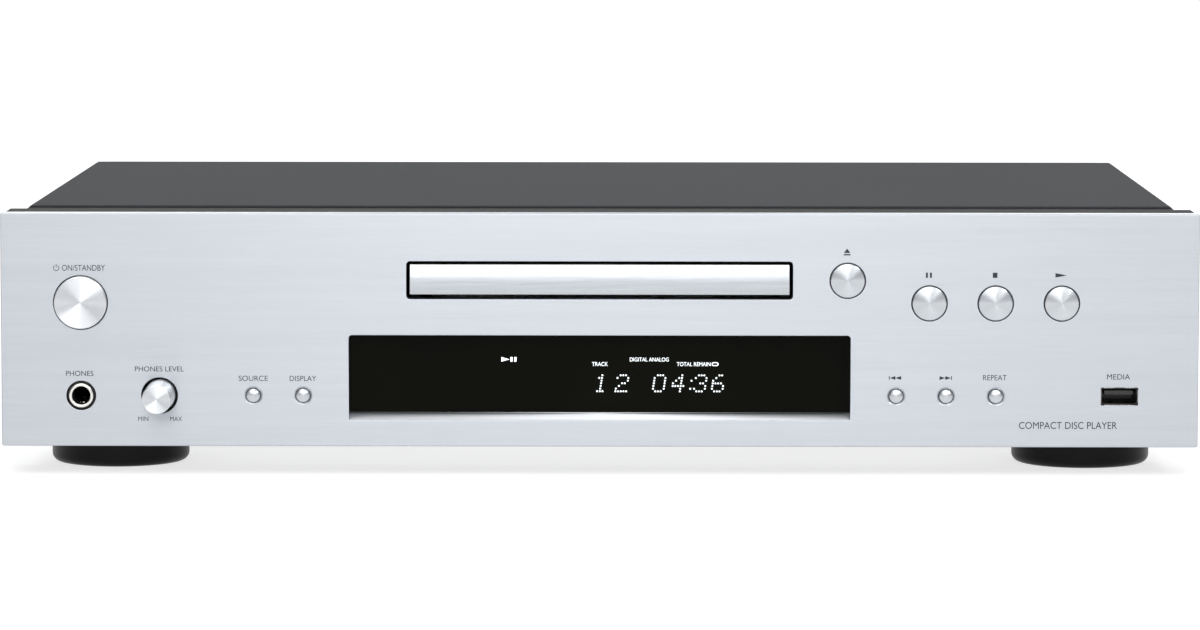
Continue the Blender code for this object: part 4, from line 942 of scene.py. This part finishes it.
def cross(at, axis, low, high, reach, width):
    """A cutter for a cross recess, as a plus sign."""
    w = width / 2
    plus = [(reach, -w), (reach, w), (w, w), (w, reach), (-w, reach), (-w, w), (-reach, w)]
    plus += [(-reach, -w), (-w, -w), (-w, -reach), (w, -reach), (w, -w)]
    loop = [(at[0] + a, at[1] + b) for a, b in plus]
    return slab("cross", loop, low, high, axis, rim=(0, 0))


def screw(name, at, axis, face, out, head_r, tall, shank=0.0):
    """A pan-head screw on a face. out is 1 or -1, the side its head stands on."""
    shank_r, shank_end = head_r * 0.45, face - out * shank
    profile = [(0, shank_end), (shank_r, shank_end), (shank_r, face), (head_r, face)]
    profile += [(head_r, face + out * tall * 0.45), (head_r * 0.55, face + out * tall)]
    profile += [(0, face + out * tall * 1.02)]
    profile = softened(profile, [0, 0.1, 0, 0.1, head_r * 0.2, head_r * 0.25, 0], closed=False)
    head = turned(name, profile, at, axis, 48)
    ends = sorted((face + out * (tall * 1.05 + 0.2), face + out * tall * 0.35))
    recess = cross(at, axis, *ends, head_r * 0.6, head_r * 0.22)
    return boolean(head, "DIFFERENCE", recess)


CORNERS = [(word, place) for word in ("left", "right") for place in ("front", "rear")]


def make_cover_screws():
    for word, place in CORNERS:
        node = f"cover_screw_{word}_{place}"
        low, high, at = spot(node)
        side, outer, tall = (-1, low.x, 2.0) if word == "left" else (1, high.x, 2.0)
        face = outer - side * tall - side * 0.28
        made = screw(f"{node}_head", (at.y, at.z), "X", face, side, 4.0, tall + 0.2, 4.0)
        piece(made, BLACK_STEEL, node)


def make_feet():
    for word, place in CORNERS:
        node = f"foot_{place}_{word}"
        _, high, at = spot(node)
        radius, edge = high.x - at.x, 3.2
        profile = [(3.0, high.z), (radius - 0.3, high.z), (radius, high.z - 0.3), (radius, edge)]
        profile += [(r, z) for r, z in arc(radius - edge, edge, edge, 0, -90, 12)][1:]
        profile += [(20.6, 0.0), (20.3, 0.5), (20.2, 1.0), (10.4, 1.0), (10.2, 0.5), (9.9, 0.0)]
        profile += [(9.2, 0.0), (8.9, 0.4), (8.2, 6.6), (7.8, 7.0), (3.0, 7.0)]
        piece(turned(f"{node}_body", profile, (at.x, at.y), "Z"), SATIN, node)
        pad = [(10.6, 0.98), (10.6, 0.3), (10.9, 0.02), (19.7, 0.02), (20.0, 0.3), (20.0, 0.98)]
        piece(turned(f"{node}_pad", pad, (at.x, at.y), "Z"), RUBBER)
        made = screw(f"{node}_screw", (at.x, at.y), "Z", 6.98, -1, 4.2, 2.2, 7.0)
        piece(made, ZINC)


# ---- rear
ANALOG_Z = (62.0, 42.0)
REAR_FACE = box_mm("rear_panel")[1].y


def make_rear():
    low, high = box_mm("rear_panel")
    analog, coaxial = middle("analog_jacks"), middle("coaxial_jack")
    optical, inlet = middle("optical_jack"), middle("ac_inlet")
    phonos = [(analog.x, z) for z in ANALOG_Z] + [(coaxial.x, coaxial.z)]
    holes = [circle(*at, 6.7) for at in phonos]
    holes.append(around(optical.x, optical.z, 12, 12, 0.6))
    holes.append(around(inlet.x, inlet.z, 27.6, 20.4, 2.0))
    holes += [oblong(*about(x, 1.5), 62, 82, 1.45) for x in range(-70, 71, 14)]
    panel = slab(
        "rear_plate", oblong(low.x, high.x, low.z, high.z, 1.0), low.y, high.y, "Y",
        holes, (0.1, 0.2), (0.1, 0.25),
    )
    piece(panel, REAR, "rear_panel")
    spots = [(x, z) for x in (-200, -100, 0, 100, 200) for z in (20, 80.5) if (x, z) != (0, 80.5)]
    spots += [(-188, 62), (151.5, 62)]
    screws = [screw("screw", at, "Y", high.y - 0.01, 1, 2.9, 1.3) for at in spots]
    piece(merged("rear_screws", *screws), BLACK_STEEL)
    words = [
        ("ANALOG OUT", analog.x, 74.2, 2.2), ("L", analog.x + 9.5, 61.0, 2.4),
        ("R", analog.x + 9.5, 41.0, 2.4), ("COAXIAL", coaxial.x, 51.4, 2.0),
        ("OPTICAL", optical.x, 51.4, 2.0), ("DIGITAL OUT", 130.5, 56.6, 2.2),
        ("AC IN", inlet.x, 61.0, 2.2),
    ]
    made = [lettering(t, x, z, REAR_FACE, tall, sign=-1) for t, x, z, tall in words]
    for x0, x1, z in ((112, 149, 55.6), (160, 180, 73.2)):
        made.append(icon(oblong(x0, x1, z, z + 0.25), 0, 0, REAR_FACE))
    piece(merged("rear_print", *made), PALE_INK)


def phono(name, x, z, y0, end, insulator):
    """A phono socket: flange nut, sleeve, coloured insulator and centre contact."""
    sleeve = [(3.15, y0), (6.1, y0), (6.1, y0 + 2.4), (4.35, y0 + 2.5), (4.1, y0 + 3.1)]
    sleeve += [(4.1, end - 0.5), (3.7, end), (3.25, end - 0.1), (3.15, end - 0.6)]
    sleeve = turned("sleeve", softened(sleeve, 0.15), (x, z), "Y", 72)
    hexagon, hole = circle(x, z, 6.35, 6), circle(x, z, 4.2)
    nut = slab("nut", hexagon, y0 + 0.3, y0 + 1.9, "Y", [hole], (0.2, 0.2))
    piece(merged(f"{name}_sleeve", sleeve, nut), NICKEL)
    core = [(1.2, y0), (3.1, y0), (3.1, end - 0.9), (2.7, end - 0.6), (1.2, end - 0.9)]
    core = turned(f"{name}_insulator", softened(core, 0.15), (x, z), "Y", 64)
    piece(core, insulator)
    tube = [(0.85, y0), (1.18, y0), (1.18, end - 1.3), (0.85, end - 1.1)]
    piece(turned(f"{name}_contact", tube, (x, z), "Y", 32), GOLD)


def make_phono_sockets():
    analog = (("analog_left", ANALOG_Z[0], WHITE), ("analog_right", ANALOG_Z[1], RED))
    coaxial = (("coaxial", middle("coaxial_jack").z, ORANGE),)
    for node, sockets in (("analog_jacks", analog), ("coaxial_jack", coaxial)):
        low, high = box_mm(node)
        depth = (low.y, REAR_FACE - 1.5)
        name = node.split("_")[0] + "_housing"
        housing = block(name, (low.x, high.x), depth, (low.z, high.z), 0.5)
        piece(housing, BLACK, node)
        for name, z, colour in sockets:
            phono(name, middle(node).x, z, REAR_FACE - 1.4, high.y, colour)


def make_optical_socket():
    low, high, at = spot("optical_jack")
    floor = 134.0  # the bottom of its mouth
    shell = slab(
        "shell", around(at.x, at.z, 11.2, 11.2, 0.7), floor, high.y, "Y",
        [(around(at.x, at.z, 9.2, 9.2, 0.4), 0.1, 0.35)], (0.2, 0.3),
    )
    rear = block("rear", about(at.x, 5.6), (low.y, floor), about(at.z, 5.6), 0.4)
    piece(merged("optical_shell", shell, rear), BLACK, "optical_jack")
    low, high = box_mm("optical_shutter")
    flap = block("flap", (low.x, high.x), (low.y, high.y - 0.1), (low.z, high.z), 0.15)
    ridge = slab(
        "ridge", around(at.x, at.z - 0.2, 5.0, 5.0, 2.2), high.y - 0.35, high.y, "Y",
        [around(at.x, at.z - 0.2, 4.0, 4.0, 1.8)], (0.02, 0.08), (0.02, 0.08),
    )
    flap = merged("shutter_flap", flap, ridge)
    piece(flap, GREY, "optical_shutter", "shutter")


def make_inlet():
    low, high, at = spot("ac_inlet")
    w, h, corner = 12.0, 8.2, 4.2  # the well, and the cut corners at its top
    well = [(-w, -h), (w, -h), (w, h - corner), (w - corner, h), (corner - w, h), (-w, h - corner)]
    well = softened([(at.x + a, at.z + b) for a, b in well], [1.4, 1.4, 1, 1, 1, 1])
    floor, rim_y = 128.0, REAR_FACE + 0.3
    outline = around(at.x, at.z, 27.0, 19.8, 2.0)
    body = slab("body", outline, floor, rim_y + 0.1, "Y", [well], (0.3, 0))
    rim = slab(
        "rim", around(at.x, at.z, high.x - low.x, high.z - low.z, 3.0), rim_y, high.y, "Y",
        [(well, 0.02, 0.5)], (0.1, 0.6),
    )
    rear = block("rear", about(at.x, 13.4), (low.y, floor), about(at.z, 9.8), 0.5)
    piece(merged("inlet_body", body, rim, rear), BLACK, "ac_inlet")
    blades = []
    for dx, dz in ((-7.0, -2.0), (7.0, -2.0), (0.0, 2.0)):
        outline = around(at.x + dx, at.z + dz, 2.0, 4.0, 0.6)
        blades.append(slab("blade", outline, floor - 0.5, REAR_FACE - 1.5, "Y", rim=(0, 0.5)))
    piece(merged("inlet_blades", *blades), NICKEL)


# ---- the CAD nodes that stay
STAYING = {  # material slot: finish
    "bezel_plastic": BEZEL, "tube_glass": TUBE, "zinc_steel": ZINC, "bridge_steel": ZINC,
    "deck_steel": ZINC, "belt_rubber": RUBBER, "front_board": BOARD, "power_board": BOARD,
    "audio_board": BOARD, "pot_plastic": GREY, "shaft_metal": STEEL, "frame_plastic": GREY,
    "white_plastic": WHITE, "puck_plastic": BLACK, "hub_plastic": BLACK, "motor_steel": STEEL,
    "pinion_metal": GOLD, "rod_steel": STEEL, "pickup_metal": ZINC, "core_steel": CORE,
    "coil_copper": COPPER,
}
NO_BEVEL = ("drive_belt", "display_tube")
BEVEL_MM = 0.12


def dress_cad_nodes():
    """Gives each CAD node that still shows its finish and softer edges."""
    slots = {s["node"]: s["material_slot"] for s in frame["record"]["subparts"]}
    for name, obj in frame["nodes"].items():
        if obj.hide_render:
            continue
        obj.data.materials.clear()
        obj.data.materials.append(STAYING[slots[name]])
        if name in NO_BEVEL:
            continue
        weld = obj.modifiers.new("weld", "WELD")
        weld.merge_threshold = TINY
        bevel = obj.modifiers.new("bevel", "BEVEL")
        bevel.width, bevel.segments, bevel.limit_method = BEVEL_MM * MM, 2, "ANGLE"
        bevel.angle_limit, bevel.harden_normals = math.radians(40), True


# ---- stage, light and camera
STAGE_MM = 30000.0


def make_stage():
    """A pale floor that glows a little, so that it shows white with only a soft shadow."""
    bm = bmesh.new()
    bmesh.ops.create_grid(bm, x_segments=4, y_segments=4, size=STAGE_MM)
    floor = made_object("stage_floor", bm)
    f = plain("pale_floor", (0.42, 0.42, 0.42), 0.9, 0.0)
    f.set(f.shader, {"Emission Color": (1, 1, 1, 1), "Emission Strength": 0.70})
    floor.data.materials.append(f.tint(f.noise(2, 2), 0.995, 1.005).done())
    world = bpy.data.worlds.new("studio")
    world.use_nodes = True
    background = world.node_tree.nodes["Background"]
    background.inputs["Color"].default_value = (0.97, 0.985, 1.0, 1)
    background.inputs["Strength"].default_value = 0.50
    bpy.context.scene.world = world
    view = bpy.context.scene.view_settings
    view.view_transform, view.look, view.exposure, view.gamma = "Standard", "None", 0.0, 1.0


SOFTBOXES = (  # name, place, height it points at over the middle, width, height, watts
    ("front_soft", (0.0, -2.6, 0.90), 0.05, 0.7, 1.2, 5),
    ("upper_soft", (0.0, -2.4, 1.0), 0.05, 3.0, 0.9, 23),
    ("right_key", (1.5, -1.9, 1.65), 0.05, 0.6, 0.6, 22),
    ("back_soft", (0.0, 2.6, 0.5), 0.1, 2.5, 0.5, 10),
    ("top_soft", (0.1, -0.3, 2.2), 0.0, 2.4, 1.6, 16),
)


def make_lights():
    sun = bpy.data.lights.new("soft_sun", "SUN")
    sun.energy, sun.angle = 1.0, math.radians(60)
    linked("soft_sun", sun).rotation_euler = (math.radians(20), math.radians(-12), 0)
    for name, at, aim_z, width, height, power in SOFTBOXES:
        data = bpy.data.lights.new(name, "AREA")
        data.shape, data.size, data.size_y, data.energy = "RECTANGLE", width, height, power
        obj = linked(name, data)
        obj.location = at
        toward = Vector((0, 0, aim_z)) - Vector(at)
        obj.rotation_euler = toward.to_track_quat("-Z", "Y").to_euler()


def make_camera():
    """The fitted camera: a long lens in front, a little above the player."""
    data = bpy.data.cameras.new("camera")
    data.lens, data.sensor_width, data.sensor_fit = 156.6, 36.0, "HORIZONTAL"
    data.clip_start, data.clip_end = 0.05, 100.0
    camera = linked("camera", data)
    place = Matrix.Translation((0.01019, -2.02612, 0.23884))
    down, turn, roll = map(math.radians, (5.4424, 0.305, 0.050))
    aim = Matrix.Rotation(turn, 3, "Z") @ Matrix.Rotation(-down, 3, "X")
    right = aim @ Vector((math.cos(roll), 0, math.sin(roll)))
    up = aim @ Vector((-math.sin(roll), 0, math.cos(roll)))
    back = -(aim @ Vector((0, 1, 0)))
    camera.matrix_world = place @ Matrix((right, up, back)).transposed().to_4x4()
    bpy.context.scene.camera = camera


make_fascia()
make_window()
make_prints()
make_display_marks()
make_door()
make_tray()
make_buttons()
make_knob()
make_phones_jack()
make_media_port()
make_cover()
make_cover_screws()
make_feet()
make_rear()
make_phono_sockets()
make_optical_socket()
make_inlet()
dress_cad_nodes()
make_stage()
make_lights()
make_camera()
